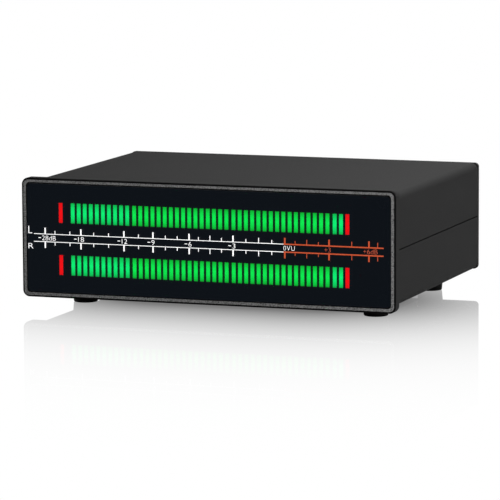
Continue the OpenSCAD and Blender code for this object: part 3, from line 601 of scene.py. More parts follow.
# The numbers of a grained finish are its roughness, the size of its grain and the depth of its relief
finishes = {
    "case_finish": case_coat(),
    "bezel_metal": rim_and_sides(),
    "dark_window": smoked_window(),
    "tape": grained("foam_tape", grey(0.010), grey(0.016), 0.9, 0.4, 0.3, specular=0.1),
    "green_light": lit_resin("green_light", GREEN, COOL_GREEN),
    "red_light": lit_resin("red_light", RED, RED),
    "unlit_segment": grained("unlit_resin", grey(0.010), grey(0.014), 0.4, 0.5, 0.1, specular=0.2),
    "board": circuit_board(),
    "moulded_black": grained("moulded_black", grey(0.009), grey(0.014), 0.55, 0.4, 0.3, specular=0.3),
    "knob_black": grained("knob_black", grey(0.012), grey(0.018), 0.42, 0.3, 0.25, specular=0.4),
    "steel": grained("zinc_steel", grey(0.42), grey(0.55), 0.34, 0.5, 0.15, metallic=1.0),
    "black_steel": grained("black_oxide", grey(0.02), grey(0.035), 0.36, 0.3, 0.2, metallic=0.7),
    "nickel": grained("nickel_plate", (0.52, 0.50, 0.46), (0.60, 0.58, 0.54), 0.22, 0.8, 0.08, metallic=1.0),
    "chrome": grained("chrome_plate", grey(0.66), grey(0.70), 0.10, 1.2, 0.03, metallic=1.0, spread=0.04),
    "brass": grained("turned_brass", (0.55, 0.40, 0.16), (0.64, 0.48, 0.20), 0.3, 0.6, 0.15, metallic=1.0),
    "gold_plate": grained(
        "gold_plate", (0.80, 0.56, 0.20), (0.86, 0.62, 0.24), 0.18, 0.8, 0.06, metallic=1.0,
    ),
    "white_plastic": grained("white_plastic", grey(0.70), grey(0.76), 0.35, 0.5, 0.1),
    "red_plastic": grained("red_plastic", (0.42, 0.012, 0.012), (0.50, 0.018, 0.016), 0.35, 0.5, 0.1),
    "capacitor_sleeve": grained(
        "capacitor_sleeve", (0.010, 0.012, 0.03), (0.014, 0.016, 0.04), 0.3, 0.8, 0.1,
    ),
    "rubber": grained("foot_rubber", grey(0.006), grey(0.010), 0.75, 0.4, 0.4, specular=0.2),
}
slot_of = {}

for subpart in frame["record"]["subparts"]:
    slot_of[subpart["node"]] = subpart["material_slot"]
    mesh = frame["nodes"][subpart["node"]].data
    mesh.materials.clear()
    mesh.materials.append(finishes[subpart["material_slot"]])
frame["nodes"]["bar_housings"].data.materials[0] = glowing_housing()

# ---------- Making and finishing pieces ----------

SHARP_ANGLE = math.radians(35)  # edges turned by more are rounded off
SMOOTH_ANGLE = math.radians(40)
FLAT_ANGLE = math.radians(0.5)


def nothing_selected():
    """Ends any edit and deselects all."""
    if bpy.context.object and bpy.context.object.mode != "OBJECT":
        bpy.ops.object.mode_set(mode="OBJECT")
    bpy.ops.object.select_all(action="DESELECT")


def only(piece):
    """Selects the piece alone and makes it the active one."""
    nothing_selected()
    piece.select_set(True)
    bpy.context.view_layer.objects.active = piece


def block(low, high):
    """A box between two corners, with its place in its mesh."""
    nothing_selected()
    bpy.ops.mesh.primitive_cube_add(size=1, location=(Vector(low) + Vector(high)) / 2)
    piece = bpy.context.object
    piece.scale = Vector(high) - Vector(low)
    bpy.ops.object.transform_apply(location=True, rotation=True, scale=True)
    return piece


def bevel_edges(piece, chosen, width, segments):
    """Rounds the edges whose two ends pass a test, or chamfers them with one segment."""
    only(piece)
    bpy.ops.object.mode_set(mode="EDIT")
    bpy.ops.mesh.select_mode(type="EDGE")
    bpy.ops.mesh.select_all(action="DESELECT")
    bpy.ops.object.mode_set(mode="OBJECT")
    corners = piece.data.vertices
    for edge in piece.data.edges:
        edge.select = chosen(*(corners[number].co for number in edge.vertices))
    bpy.ops.object.mode_set(mode="EDIT")
    bpy.ops.mesh.bevel(offset=width, segments=segments, profile=0.5, affect="EDGES")
    bpy.ops.object.mode_set(mode="OBJECT")


def rounded_block(low, high, axis, radius, segments=8):
    """A box whose edges along one axis are rounded."""
    piece = block(low, high)
    bevel_edges(piece, lambda a, b: abs((b - a).normalized()[axis]) > 0.999, radius, segments)
    return piece


AXES = {"X": Vector((1, 0, 0)), "Y": Vector((0, 1, 0)), "Z": Vector((0, 0, 1))}
ACROSS = {"X": Vector((0, 1, 0)), "Y": Vector((1, 0, 0)), "Z": Vector((1, 0, 0))}


def close_surface():
    """Merges what meets and turns all faces outwards, in edit mode, and ends that mode."""
    bpy.ops.mesh.select_all(action="SELECT")
    bpy.ops.mesh.remove_doubles(threshold=TOUCH / 10)
    bpy.ops.mesh.normals_make_consistent(inside=False)
    bpy.ops.object.mode_set(mode="OBJECT")


def ring(centre, axis, profile, sides):
    """Spins a profile of (radius, place along the axis) into a solid of revolution, in metres."""
    centre = Vector(centre)
    spots = [centre + ACROSS[axis] * radius + AXES[axis] * along for radius, along in profile]
    nothing_selected()
    bpy.ops.mesh.primitive_plane_add(size=MM, location=spots[0])
    piece = bpy.context.object
    bpy.ops.object.transform_apply(location=True, rotation=True, scale=True)
    bpy.ops.object.mode_set(mode="EDIT")
    bpy.ops.mesh.select_mode(type="VERT")
    bpy.ops.mesh.select_all(action="SELECT")
    bpy.ops.mesh.merge(type="CENTER")
    for before, after in zip(spots, spots[1:]):
        bpy.ops.mesh.extrude_vertices_move(TRANSFORM_OT_translate={"value": after - before})
    bpy.ops.mesh.select_all(action="SELECT")
    bpy.ops.mesh.spin(steps=sides, angle=2 * math.pi, center=centre, axis=AXES[axis])
    close_surface()
    return piece


def soften(piece, width, segments=2):
    """A small round on every sharp edge, and smooth shading over the curved faces."""
    only(piece)
    if width:
        bevel = piece.modifiers.new("edge", "BEVEL")
        bevel.width = width
        bevel.segments = segments
        bevel.limit_method = "ANGLE"
        bevel.angle_limit = SHARP_ANGLE
        bpy.ops.object.modifier_apply(modifier=bevel.name)
    bpy.ops.object.shade_smooth_by_angle(angle=SMOOTH_ANGLE)
    weigh = piece.modifiers.new("weigh", "WEIGHTED_NORMAL")
    weigh.keep_sharp = True
    bpy.ops.object.modifier_apply(modifier=weigh.name)
    return piece


def combine(piece, other, operation):
    """Joins the other shape to the piece, takes it out, or keeps what both share."""
    only(piece)
    boolean = piece.modifiers.new("combine", "BOOLEAN")
    boolean.operation = operation
    boolean.solver = "EXACT"
    boolean.object = other
    bpy.ops.object.modifier_apply(modifier=boolean.name)
    bpy.data.objects.remove(other)
    return piece


def cut(piece, *cutters):
    """Takes each of the cutters out of the piece."""
    for cutter in cutters:
        combine(piece, cutter, "DIFFERENCE")
    return piece


def join(pieces):
    """Makes one object of several."""
    nothing_selected()
    for piece in pieces:
        piece.select_set(True)
    bpy.context.view_layer.objects.active = pieces[0]
    if len(pieces) > 1:
        bpy.ops.object.join()
    return bpy.context.object


def copies(piece, moves):
    """Copies of the piece at each of the moves, as one object in place of it."""
    made = []
    for move in moves:
        twin = piece.copy()
        twin.data = piece.data.copy()
        twin.data.transform(move if isinstance(move, Matrix) else Matrix.Translation(move))
        bpy.context.scene.collection.objects.link(twin)
        made.append(twin)
    bpy.data.objects.remove(piece)
    return join(made)


def hand_over(piece, name, finish, body="case", instead_of=()):
    """Names and paints a finished piece, gives it its body, and hides the nodes it stands for."""
    piece.name = name
    piece.data.name = name
    piece.data.materials.clear()
    piece.data.materials.append(finish)
    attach(piece, body)
    if instead_of:
        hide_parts(*instead_of)
    return piece


def stand_in(piece, name, node, body="case"):
    """Hands over a piece that stands for one node and takes its finish."""
    return hand_over(piece, name, finishes[slot_of[node]], body, (node,))


def merge_flat():
    """Makes one face of all selected ones that meet in a plane, in edit mode, and ends that mode."""
    bpy.ops.mesh.dissolve_limited(angle_limit=FLAT_ANGLE)
    bpy.ops.object.mode_set(mode="OBJECT")


def merged_copy(node):
    """The node's own shape as a new piece, with its loose faces merged into whole ones."""
    source = frame["nodes"][node]
    piece = source.copy()
    piece.data = source.data.copy()
    piece.parent = None
    for key in list(piece.keys()):
        del piece[key]
    bpy.context.scene.collection.objects.link(piece)
    only(piece)
    if piece.data.has_custom_normals:
        bpy.ops.mesh.customdata_custom_splitnormals_clear()
    bpy.ops.object.mode_set(mode="EDIT")
    bpy.ops.mesh.select_all(action="SELECT")
    bpy.ops.mesh.remove_doubles(threshold=TOUCH)
    merge_flat()
    return piece


# ---------- Front: bezel, window and light bars ----------

OVER = 1.0 * MM  # how far a cut runs past the face it opens
SLOT_PLAY = 0.2 * MM
PORTS = [(sx * 79.5 * MM, z * MM) for sx in (-1, 1) for z in (11.0, 52.9)]
SPACERS = [(x * MM, 31.175 * MM) for x in (-70.0, -23.0, 23.0, 70.0)]
HEAD_R, SCREW_R, SMALL_R = 2.85 * MM, 1.6 * MM, 1.25 * MM  # holes of the sunk and the small screws
HEAD_START, HEAD_END = ledge_y + 0.1 * MM, ledge_y + 1.8 * MM
SMALL_START = ledge_y + 0.6 * MM
ledge_front, bezel_behind = ledge_y - OVER, bezel_high.y + OVER


def front_frame():
    """Milled front frame: rounded blank, broken edge, window pocket, two slots and eight holes."""
    piece = rounded_block(bezel_low, bezel_high, 1, BEZEL_R, 10)
    bevel_edges(piece, lambda a, b: max(a.y, b.y) < bezel_low.y + TOUCH, RIM_BREAK, 3)
    play = Vector((WINDOW_PLAY, 0, WINDOW_PLAY))
    pocket = rounded_block(
        Vector((pane_low.x, bezel_low.y - OVER, pane_low.z)) - play,
        Vector((pane_high.x, ledge_y, pane_high.z)) + play,
        1, WINDOW_R + WINDOW_PLAY,
    )
    half = SEGMENT_SIZE.z / 2 + HOUSING_EDGE + SLOT_PLAY
    slots = [
        block(
            (housing_low.x - SLOT_PLAY, ledge_front, z - half),
            (housing_high.x + SLOT_PLAY, bezel_behind, z + half),
        )
        for z in row_middles
    ]
    sunk = [
        (0, ledge_front), (HEAD_R, ledge_front), (HEAD_R, HEAD_START),
        (SCREW_R, HEAD_END), (SCREW_R, bezel_behind), (0, bezel_behind),
    ]
    small = [(0, SMALL_START), (SMALL_R, SMALL_START), (SMALL_R, bezel_behind), (0, bezel_behind)]
    holes = [ring((x, 0, z), "Y", sunk, 32) for x, z in PORTS]
    holes += [ring((x, 0, z), "Y", small, 32) for x, z in SPACERS]
    cut(piece, pocket, join(slots), join(holes))
    soften(piece, 0.07 * MM)
    stand_in(piece, "front_frame", "front_bezel")


front_frame()
stand_in(
    soften(rounded_block(pane_low, pane_high, 1, WINDOW_R), 0.12 * MM),
    "smoked_pane", "display_window",
)


def light_segments(name, node, numbers):
    """Cast segments of both rows, one shape and its copies."""
    half = SEGMENT_SIZE / 2
    one = block(-half, half)
    soften(one, 0.1 * MM, 1)
    middles = [(segment_x(number), green_low.y + half.y, z) for z in row_middles for number in numbers]
    stand_in(copies(one, middles), name, node)


light_segments("green_bars", "green_segments", range(FIRST_GREEN, LAST_GREEN + 1))
light_segments("red_bars", "red_segments", LIT_RED)
light_segments("unlit_bars", "dark_segments", UNLIT)

# ---------- Printed scale ----------

INK = 0.05 * MM  # thickness of the print
INK_EDGE = 0.012 * MM  # round on the edges of a printed bar
# strength of the painted glow in the window's ink
INK_GLOW = 0.85
ink_y = pane_low.y - INK
LINE_OFFSET = 1.7  # of the two lines from the middle of the scale; these and what follows in millimetres
WHITE_LINE = 0.27
ORANGE_LINE = 0.55
LINE_START, LINE_ZERO, LINE_END = -80.5, 35.45, 80.5


def window_ink(name, dark, light):
    """Opaque ink on the window, with a painted glow in its own colour that stands for the light of the bars
    behind it.
    """
    material = grained(name, dark, light, 0.5, 0.2, 0.1)
    tree = material.node_tree
    shader = next(node for node in tree.nodes if node.type == "BSDF_PRINCIPLED")
    colour = shader.inputs["Base Color"].links[0].from_socket
    feed(shader, "Emission Color", colour)
    shader.inputs["Emission Strength"].default_value = INK_GLOW
    return material


white_ink = grained("white_ink", grey(0.74), grey(0.84), 0.5, 0.2, 0.1)
bright_ink = window_ink("bright_white_ink", grey(0.85), grey(0.95))
orange_ink = window_ink("orange_ink", (0.36, 0.045, 0.009), (0.41, 0.053, 0.012))
dim_ink = window_ink("dim_orange_ink", (0.44, 0.070, 0.028), (0.50, 0.080, 0.032))


def printed(x0, x1, z0, z1):
    """A printed bar on the window, in millimetres from the middle of the scale."""
    return block(
        (x0 * MM, ink_y, scale_middle + z0 * MM),
        (x1 * MM, ink_y + INK, scale_middle + z1 * MM),
    )


def ticks(places, width, reach, line):
    """Ticks that stand on the upper line and hang from the lower one."""
    made = []
    for x in places:
        for low, high in ((LINE_OFFSET + line / 2, reach), (-reach, -LINE_OFFSET - line / 2)):
            made.append(printed(x - width / 2, x + width / 2, low, high))
    return made


def lines(x0, x1, line):
    """The upper and the lower line of the scale."""
    return [printed(x0, x1, s * LINE_OFFSET - line / 2, s * LINE_OFFSET + line / 2) for s in (-1, 1)]


def word(text, x, z, width, height, bold=0.0, spacing=1.0):
    """A printed word that fills a box round x and z, in millimetres from the middle of the scale."""
    nothing_selected()
    bpy.ops.object.text_add()
    letters = bpy.context.object
    letters.data.body = text
    letters.data.size = 1.0
    letters.data.offset = bold
    letters.data.space_character = spacing
    letters.data.extrude = 0.5
    letters.data.resolution_u = 4
    bpy.ops.object.convert(target="MESH")
    bpy.ops.object.origin_set(type="ORIGIN_GEOMETRY", center="BOUNDS")
    letters = bpy.context.object
    natural = letters.dimensions
    letters.scale = (width * MM / natural.x, height * MM / natural.y, INK / natural.z)
    letters.rotation_euler = (math.radians(90), 0, 0)
    letters.location = (x * MM, ink_y + INK / 2, scale_middle + z * MM)
    bpy.ops.object.transform_apply(location=True, rotation=True, scale=True)
    bpy.ops.object.mode_set(mode="EDIT")
    close_surface()
    return letters


# Places of the ticks along the scale, from its middle; the hot ones are orange
MAJOR = (-75.15, -58.25, -38.05, -24.5, -7.75, 12.45)
MINOR = (-70.5, -63.45, -52.25, -45.25, -31.25, -18.75, -13.25, -3.45, 7.15, 18.35, 30.15)
MEDIUM = (1.85, 24.15)
HOT_MAJOR = (36.05, 56.05, 73.95)
HOT_MINOR = (40.75, 51.25)
HOT_MEDIUM = (46.0, 66.25, 77.85)
REACH = (4.45, 4.0, 3.2)  # of the major, medium and minor ticks
TICK_WIDTHS = (0.62, 0.34, 0.34)
HOT_WIDTHS = (0.7, 0.3, 0.3)


def scale_print(name, ink, x0, x1, line, marks, widths):
    """One colour of the scale: its part of both lines, with their ticks."""
    made = lines(x0, x1, line)
    for number, places in enumerate(marks):
        made += ticks(places, widths[number], REACH[number], line)
    hand_over(soften(join(made), INK_EDGE, 1), name, ink)


plain_marks, hot_marks = (MAJOR, MEDIUM, MINOR), (HOT_MAJOR, HOT_MEDIUM, HOT_MINOR)
scale_print("scale_white", bright_ink, LINE_START, LINE_ZERO, WHITE_LINE, plain_marks, TICK_WIDTHS)
scale_print("scale_orange", orange_ink, LINE_ZERO, LINE_END, ORANGE_LINE, hot_marks, HOT_WIDTHS)

NUMBER_H = 2.1
NUMBER_Z = -0.05
HOT_H = 2.05
THIN, THINNER, THINNEST = -0.01, -0.015, -0.022  # strokes narrower than the typeface's own
MINUS_W, MINUS_H = 1.2, 0.3
NUMBERS = (  # digits, left end, and width and distance of the digits from the minus sign
    ("28dB", -78.35, 6.5, 0.5), ("18", -61.5, 2.7, 0.75), ("12", -41.05, 2.5, 0.8), ("9", -27.05, 1.4, 0.65),
    ("6", -9.8, 1.35, 0.6), ("3", 10.35, 1.35, 0.6),
)


def below_zero(digits, x, width, gap):
    """A number with its minus sign, from x to the right."""
    sign = soften(printed(x, x + MINUS_W, -MINUS_H / 2, MINUS_H / 2), INK_EDGE, 1)
    return [sign, word(digits, x + MINUS_W + gap + width / 2, NUMBER_Z, width, NUMBER_H, THINNER)]


white_words = [one for number in NUMBERS for one in below_zero(*number)]
white_words += [
    word("0VU", 38.0, 0, 5.1, 2.0, bold=-0.021, spacing=1.15),
    word("L", -82.2, 3.4, 1.8, 3.2, THIN),
    word("R", -81.95, -3.75, 2.4, 2.35, THIN),
]
hand_over(join(white_words), "scale_numbers", bright_ink)
hot_words = [
    word("+3", 55.35, 0, 2.75, HOT_H, THINNEST),
    word("+6dB", 74.6, 0, 6.4, HOT_H, THINNEST),
]
hand_over(join(hot_words), "scale_over_numbers", dim_ink)

# ---------- Case, rear panel and feet ----------

REAR_CHAMFER = 0.4 * MM
PLATE_R = 1.8 * MM
PLATE_BORDER = Vector((2.0, -1.0, 2.0)) * MM  # border with the tighter corners; its hole runs past both faces


def on_outline(point):
    """Whether a point is on the outline of the closed case, seen from the front."""
    middle, half = (panel_low + panel_high) / 2, (panel_high - panel_low) / 2
    over = [abs(point[axis] - middle[axis]) - half[axis] + CASE_R for axis in (0, 2)]
    reach = math.hypot(max(over[0], 0), max(over[1], 0)) + min(max(over), 0)
    return abs(reach - CASE_R) < 0.03 * MM


def case_half(name, node):
    """An extruded half, chamfered where it was cut to length in front of the rear plate."""
    piece = merged_copy(node)
    end = shell_high.y - TOUCH
    bevel_edges(
        piece, lambda a, b: min(a.y, b.y) > end and on_outline(a) and on_outline(b), REAR_CHAMFER, 1,
    )
    stand_in(soften(piece, 0.15 * MM), name, node)


def rear_plate():
    """The rear panel's own shape, with tighter corners than the case, and all in black."""
    inner = block(panel_low + PLATE_BORDER, panel_high - PLATE_BORDER)
    border = cut(rounded_block(panel_low, panel_high, 1, PLATE_R), inner)
    piece = combine(merged_copy("rear_panel"), border, "UNION")
    bpy.ops.object.mode_set(mode="EDIT")
    bpy.ops.mesh.select_all(action="SELECT")
    merge_flat()
    piece = stand_in(soften(piece, 0.2 * MM), "rear_plate", "rear_panel")
    piece.data.materials[0] = grained("plate_coat", grey(0.007), grey(0.011), 0.7, 0.5, 0.25, specular=0.1)


case_half("upper_case_half", "top_shell")
case_half("lower_case_half", "bottom_shell")
rear_plate()

KEY_AF = 2.0
HEX_CORNER = 1 / math.cos(math.radians(30))


def turned(axis, profile, sides=48, centre=(0, 0, 0)):
    """A solid of revolution from a profile of (radius, place along the axis) in millimetres."""
    place = Vector(centre) * MM
    return ring(place, axis, [(radius * MM, along * MM) for radius, along in profile], sides)


def hexagon(axis, across_flats, start, end):
    """Six-sided bar along an axis, with two corners at its level sides."""
    corner = across_flats / 2 * HEX_CORNER
    return turned(axis, [(0, start), (corner, start), (corner, end), (0, end)], 6)


def hex_nut(axis, across_flats, start, end, bore):
    """Hexagon nut with its corners chamfered on both faces."""
    corner = across_flats / 2 * HEX_CORNER
    chamfer = (corner - across_flats / 2) * 0.6
    blank = hexagon(axis, across_flats, start, end)
    skirt = [
        (0, start), (across_flats / 2, start), (corner + 0.05, start + chamfer),
        (corner + 0.05, end - chamfer), (across_flats / 2, end), (0, end),
    ]
    combine(blank, turned(axis, skirt), "INTERSECT")
    cut(blank, turned(axis, [
        (0, start - 1), (bore + 0.4, start - 0.01), (bore, start + 0.4),
        (bore, end - 0.4), (bore + 0.4, end + 0.01), (0, end + 1),
    ]))
    return soften(blank, 0.06 * MM, 1)


def in_metres(points):
    """Places given in millimetres."""
    return [Vector(point) * MM for point in points]


FEET = [(x, y, 0) for x in (-67.9, 67.9) for y in (-43.5, 37.4)]
FOOT_H, FOOT_SEAT = 7.6, 4.6  # height of a foot, and of the face that its screw's head bears on
FOOT_SINK, FOOT_BORE = 3.25, 1.6
NUT_AF, NUT_LOW, NUT_HIGH = 5.5, 9.2, 11.6

foot = turned("Z", [
    (FOOT_SINK, 0.3), (3.55, 0.0), (4.75, 0.0), (5.05, 0.06), (5.27, 0.22), (5.38, 0.5), (5.97, 7.2),
    (5.93, 7.45), (5.75, FOOT_H), (FOOT_BORE, FOOT_H), (FOOT_BORE, FOOT_SEAT), (FOOT_SINK, FOOT_SEAT),
    (FOOT_SINK, 0.3),
])
stand_in(copies(soften(foot, 0), in_metres(FEET)), "rubber_feet", "feet")

foot_screw = turned("Z", [
    (0, 2.9), (2.45, 2.9), (2.65, 2.98), (2.75, 3.2), (2.75, FOOT_SEAT), (1.5, FOOT_SEAT), (1.5, 11.9),
    (1.25, 12.2), (0, 12.2),
])
cut(foot_screw, hexagon("Z", KEY_AF, 2.0, 3.92))
stand_in(copies(soften(foot_screw, 0), in_metres(FEET)), "foot_cap_screws", "foot_screws")
stand_in(copies(hex_nut("Z", NUT_AF, NUT_LOW, NUT_HIGH, 1.52), in_metres(FEET)), "foot_hex_nuts", "foot_nuts")

# ---------- Rear: fasteners and sockets ----------

REAR = 58.5  # outer face of the rear panel
SOCKETS_Z = 28.3
SOCKET_SCREWS_Z = 33.3
WHITE_SOCKETS = (62.055, 26.0575)
RED_SOCKETS = (48.055, 12.0575)
SOCKET_BACK = 48.2  # where the shells and their cores end inside the case
CONTACT_BACK = 56.5


def button_screw():
    """Button-head screw for a hexagon key, its head's seat on the rear panel."""
    piece = turned("Y", [
        (0, REAR - 8), (1.2, REAR - 8), (1.5, REAR - 7.7), (1.5, REAR), (2.7, REAR), (2.75, REAR + 0.06),
        (2.75, REAR + 0.7), (2.7, REAR + 0.9), (2.52, REAR + 1.2), (2.25, REAR + 1.43), (1.9, REAR + 1.6),
        (1.5, REAR + 1.7), (0, REAR + 1.7),
    ])
    cut(piece, hexagon("Y", KEY_AF, REAR + 0.68, REAR + 3))
    return soften(piece, 0.05 * MM, 1)


case_screw_places = [(x / MM, 0, z / MM) for x, z in PORTS]
socket_screw_places = [(sum(pair) / 2, 0, SOCKET_SCREWS_Z) for pair in zip(WHITE_SOCKETS, RED_SOCKETS)]
stand_in(copies(button_screw(), in_metres(case_screw_places)), "rear_button_screws", "rear_screws")
stand_in(copies(button_screw(), in_metres(socket_screw_places)), "socket_screws", "phono_screws")


def at_sockets(*rows):
    """Places of the phono sockets in one or more rows."""
    return in_metres([(x, 0, SOCKETS_Z) for row in rows for x in row])


shell = turned("Y", [
    (3.55, SOCKET_BACK), (3.95, SOCKET_BACK), (3.95, REAR), (4.15, REAR), (4.15, 66.62), (4.1, 66.84),
    (3.98, 66.96), (3.85, 67.0), (3.7, 66.95), (3.59, 66.82), (3.55, 66.62), (3.55, SOCKET_BACK),
], 64)
shell_places = at_sockets(WHITE_SOCKETS, RED_SOCKETS)
stand_in(copies(soften(shell, 0), shell_places), "socket_shells", "phono_shells")


def insulator():
    """Core of a phono socket, with a bore for its contact and a rounded mouth."""
    piece = turned("Y", [
        (0, SOCKET_BACK), (3.52, SOCKET_BACK), (3.52, 66.2), (3.46, 66.34), (3.3, 66.4), (2.0, 66.4),
        (1.8, 66.34), (1.7, 66.15), (1.7, 65.0), (2.13, 65.0), (2.13, CONTACT_BACK), (0, CONTACT_BACK),
    ])
    return soften(piece, 0)


stand_in(copies(insulator(), at_sockets(WHITE_SOCKETS)), "white_socket_cores", "white_insulators")
stand_in(copies(insulator(), at_sockets(RED_SOCKETS)), "red_socket_cores", "red_insulators")
contact = turned("Y", [
    (0, CONTACT_BACK), (2.1, CONTACT_BACK), (2.1, 64.8), (2.02, 64.93), (1.9, 64.97), (1.74, 64.92),
    (1.6, 64.75), (1.6, 57.5), (0, 57.5),
], 32)
stand_in(copies(soften(contact, 0), shell_places), "socket_contacts", "phono_contacts")

# ---------- Rear: power inlet, level control, power switch and button ----------

DECK_Z = 17.8  # top of the main board
BODY_END = 56.2  # where what stands on the board ends, in front of the rear panel
POWER = (-52.0058, 0, 24.3)
JACK_HALF_W, JACK_START, JACK_TOP = 4.5, 44.2, 28.8
PIN_ROOT, JACK_FLOOR = 47.6, 49.0

jack = block(
    Vector((POWER[0] - JACK_HALF_W, JACK_START, DECK_Z)) * MM,
    Vector((POWER[0] + JACK_HALF_W, BODY_END, JACK_TOP)) * MM,
)
nose = turned("Y", [(0, BODY_END - 1), (4, BODY_END - 1), (4, 58.4), (3.9, REAR), (0, REAR)], 48, POWER)
combine(jack, nose, "UNION")
cut(jack, turned("Y", [
    (0, PIN_ROOT), (0.73, PIN_ROOT), (0.73, JACK_FLOOR), (3.15, JACK_FLOOR), (3.15, 58.2), (3.45, 58.6),
    (0, 58.7),
], 48, POWER))
stand_in(soften(jack, 0.12 * MM), "power_jack", "power_socket")
jack_pin = turned("Y", [
    (0, PIN_ROOT), (0.7, PIN_ROOT), (0.7, JACK_FLOOR), (1.05, JACK_FLOOR), (1.05, 56.95), (0.98, 57.25),
    (0.78, 57.43), (0.45, 57.5), (0, 57.5),
], 32, POWER)
stand_in(soften(jack_pin, 0), "power_jack_pin", "power_socket_pin")

LEVEL_X, LEVEL_Z = -13.9755, 28.3
SWITCH_X, SWITCH_Z = -69.9622, 24.15
MODE = (-33.88, 0, 24.3)
BUSH_END = 63.0
THREAD_PITCH = 0.75
THREAD_DEEP = 0.28


def threaded_bush(radius, start, end):
    """Bush with a thread cut into it from the panel to its chamfered end."""
    profile = [(0, start), (radius, start), (radius, REAR + 0.2)]
    along = REAR + 0.2
    while along + THREAD_PITCH < end - 0.35:
        profile.append((radius - THREAD_DEEP, along + THREAD_PITCH * 0.45))
        profile.append((radius - THREAD_DEEP, along + THREAD_PITCH * 0.55))
        profile.append((radius, along + THREAD_PITCH * 0.95))
        along += THREAD_PITCH
        profile.append((radius, along + THREAD_PITCH * 0.05))
    profile += [(radius, end - 0.3), (radius - 0.3, end), (0, end)]
    return turned("Y", profile)


def bushed_body(name, node, x, z, width, start, top, radius, bore, bore_start):
    """Block on the board with a threaded bush through the panel."""
    body = block(Vector((x - width / 2, start, DECK_Z)) * MM, Vector((x + width / 2, BODY_END, top)) * MM)
    soften(body, 0.3 * MM)
    bush = threaded_bush(radius, BODY_END - 1, BUSH_END)
    bush.data.transform(Matrix.Translation(Vector((x, 0, z)) * MM))
    combine(body, bush, "UNION")
    hole = [
        (0, bore_start), (bore, bore_start), (bore, BUSH_END - 0.25), (bore + 0.35, BUSH_END + 0.1),
        (0, BUSH_END + 1),
    ]
    cut(body, turned("Y", hole, 48, (x, 0, z)))
    stand_in(soften(body, 0), name, node)


def seated_nut(name, node, x, z, across_flats, height, bore):
    """Nut on a bush, seated on the rear panel."""
    nut = hex_nut("Y", across_flats, REAR, REAR + height, bore)
    nut.data.transform(Matrix.Translation(Vector((x, 0, z)) * MM))
    stand_in(nut, name, node)


bushed_body(
    "level_potentiometer", "level_control", LEVEL_X, LEVEL_Z,
    width=14, start=47.2, top=35.3, radius=3.5, bore=3.05, bore_start=50.2,
)
seated_nut("level_hex_nut", "level_nut", LEVEL_X, LEVEL_Z, across_flats=10, height=2, bore=3.53)
bushed_body(
    "toggle_switch", "power_switch", SWITCH_X, SWITCH_Z,
    width=7, start=46.7, top=30.45, radius=3.0, bore=2.35, bore_start=51.6,
)
seated_nut("toggle_hex_nut", "power_switch_nut", SWITCH_X, SWITCH_Z, across_flats=8, height=1.8, bore=3.03)

KNOB_R = 7.5
KNOB_START, KNOB_END = 59.5, 72.5
SHAFT_HOLE_R, SHAFT_HOLE_END = 3.03, 70.6
NUT_ROOM_R, NUT_ROOM_END = 6.27, 63.6
FLUTES = 30
FLUTE_R = 0.51
FLUTE_DEEP = 0.36
FLUTED = (61.0, 71.1)  # along the knob's side
LINE_HALF_W, LINE_FLOOR, LINE_BOTTOM, LINE_TOP = 0.5, KNOB_END - 0.4, 2.6, 7.2  # line on the knob's face
knob_profile = [
    (0, SHAFT_HOLE_END), (SHAFT_HOLE_R, SHAFT_HOLE_END), (SHAFT_HOLE_R, NUT_ROOM_END),
    (NUT_ROOM_R, NUT_ROOM_END), (NUT_ROOM_R, KNOB_START), (7.3, KNOB_START), (7.44, 59.56), (KNOB_R, 59.7),
    (KNOB_R, 71.7), (7.42, 72.05), (7.2, 72.32), (6.9, 72.46), (6.6, KNOB_END), (0, KNOB_END),
]


def flute_bars():
    """Round-ended bars that each take one flute out of the knob's side."""
    angles = [number * math.pi / 6 for number in range(4)]
    round_end = [(math.sin(angle) * FLUTE_R, (1 - math.cos(angle)) * FLUTE_R) for angle in angles]
    profile = [(radius, FLUTED[0] + up) for radius, up in round_end]
    profile += [(radius, FLUTED[1] - up) for radius, up in reversed(round_end)]
    bar = turned("Y", profile, 16, (KNOB_R - FLUTE_DEEP + FLUTE_R, 0, 0))
    step = 2 * math.pi / FLUTES
    return copies(bar, [Matrix.Rotation((number + 0.5) * step, 4, "Y") for number in range(FLUTES)])


def on_knob_face(end, top):
    """A bar on the knob's face, from the line's floor outwards and up to a height above the knob's middle."""
    return block(
        Vector((LEVEL_X - LINE_HALF_W, LINE_FLOOR, LEVEL_Z + LINE_BOTTOM)) * MM,
        Vector((LEVEL_X + LINE_HALF_W, end, LEVEL_Z + top)) * MM,
    )


knob = cut(turned("Y", knob_profile, FLUTES * 4), flute_bars())
knob.data.transform(Matrix.Translation(Vector((LEVEL_X, 0, LEVEL_Z)) * MM))
cut(knob, on_knob_face(KNOB_END + 0.5, KNOB_R + 1.5))
stand_in(soften(knob, 0), "fluted_knob", "level_knob", "level_dial")
knob_line = soften(on_knob_face(KNOB_END - 0.2, LINE_TOP), 0.05 * MM)
hand_over(knob_line, "knob_line", white_ink, "level_dial")

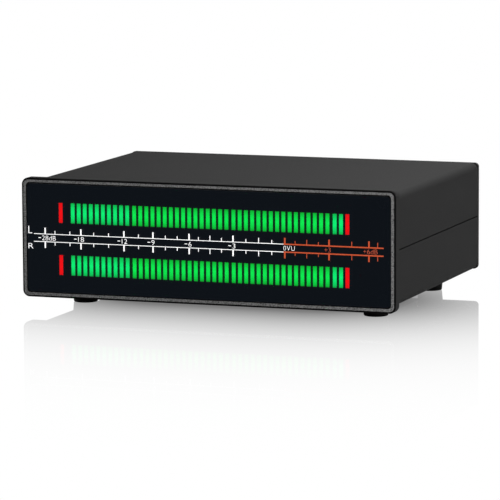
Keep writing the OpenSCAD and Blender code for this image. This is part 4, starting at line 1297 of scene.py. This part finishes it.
TILT = math.radians(12)  # of the lever, at rest at its upper stop
PIVOT = Vector((SWITCH_X, REAR + 0.5, SWITCH_Z)) * MM
BALL_R = 2
ball_angles = [math.radians(degrees) for degrees in range(-60, 61, 10)]
ball = [(BALL_R * math.cos(angle), BALL_R * math.sin(angle)) for angle in ball_angles]
lever_profile = [(0, -4), (0.85, -4), (1.0, -3.85)] + ball + [
    (1.02, 2.6), (1.1, 4.6), (1.24, 7.0), (1.4, 9.2), (1.49, 10.5), (1.45, 11.05), (1.27, 11.52),
    (0.95, 11.83), (0.5, 11.97), (0, 12.0),
]
lever = turned("Y", lever_profile, 40)
lever.data.transform(Matrix.Translation(PIVOT) @ Matrix.Rotation(TILT, 4, "X"))
stand_in(soften(lever, 0), "bat_lever", "power_lever", "switch_lever")

button = turned("Y", [
    (0, 52.1), (1.75, 52.1), (1.75, 55.45), (4.0, 55.45), (4.0, 56.45), (3.0, 56.45), (3.0, 59.8),
    (2.95, 60.02), (2.8, 60.2), (2.55, 60.3), (2.2, 60.28), (1.5, 60.18), (0.8, 60.12), (0, 60.1),
], 48, MODE)
stand_in(soften(button, 0), "mode_push_button", "mode_button", "mode_key")

# ---------- Rear print ----------

TICKS_START, TICKS_END, LONG_END = 9.0, 10.2, 10.8  # from the knob's middle
TICK_HALF_W = 0.2
TICKS = 11
FIRST_TICK, TICK_STEP = math.radians(-150), math.radians(30)
ON_Z, OFF_Z = 33.2, 14.6


def rear_word(text, x, z, width, height):
    """A word printed on the rear panel, read from behind."""
    letters = word(text, 0, 0, width, height)
    letters.data.transform(
        Matrix.Translation((x * MM, rear_y, z * MM)) @ Matrix.Rotation(math.pi, 4, "Z")
        @ Matrix.Translation((0, -ink_y, -scale_middle))
    )
    return letters


def dial_ticks():
    """Eleven ticks round the knob, from one end of its turn to the other."""
    made = []
    for number in range(TICKS):
        end = LONG_END if number in (0, TICKS // 2, TICKS - 1) else TICKS_END
        tick = block(
            Vector((-TICK_HALF_W, REAR, TICKS_START)) * MM,
            Vector((TICK_HALF_W, REAR + INK / MM, end)) * MM,
        )
        soften(tick, INK_EDGE, 1)
        turn = Matrix.Rotation(FIRST_TICK + number * TICK_STEP, 4, "Y")
        tick.data.transform(Matrix.Translation(Vector((LEVEL_X, 0, LEVEL_Z)) * MM) @ turn)
        made.append(tick)
    return made


rear_y = panel_high.y + INK
rear_words = [rear_word("ON", SWITCH_X, ON_Z, 3.6, 2.0), rear_word("OFF", SWITCH_X, OFF_Z, 4.9, 2.0)]
hand_over(join(dial_ticks() + rear_words), "rear_marks", white_ink)
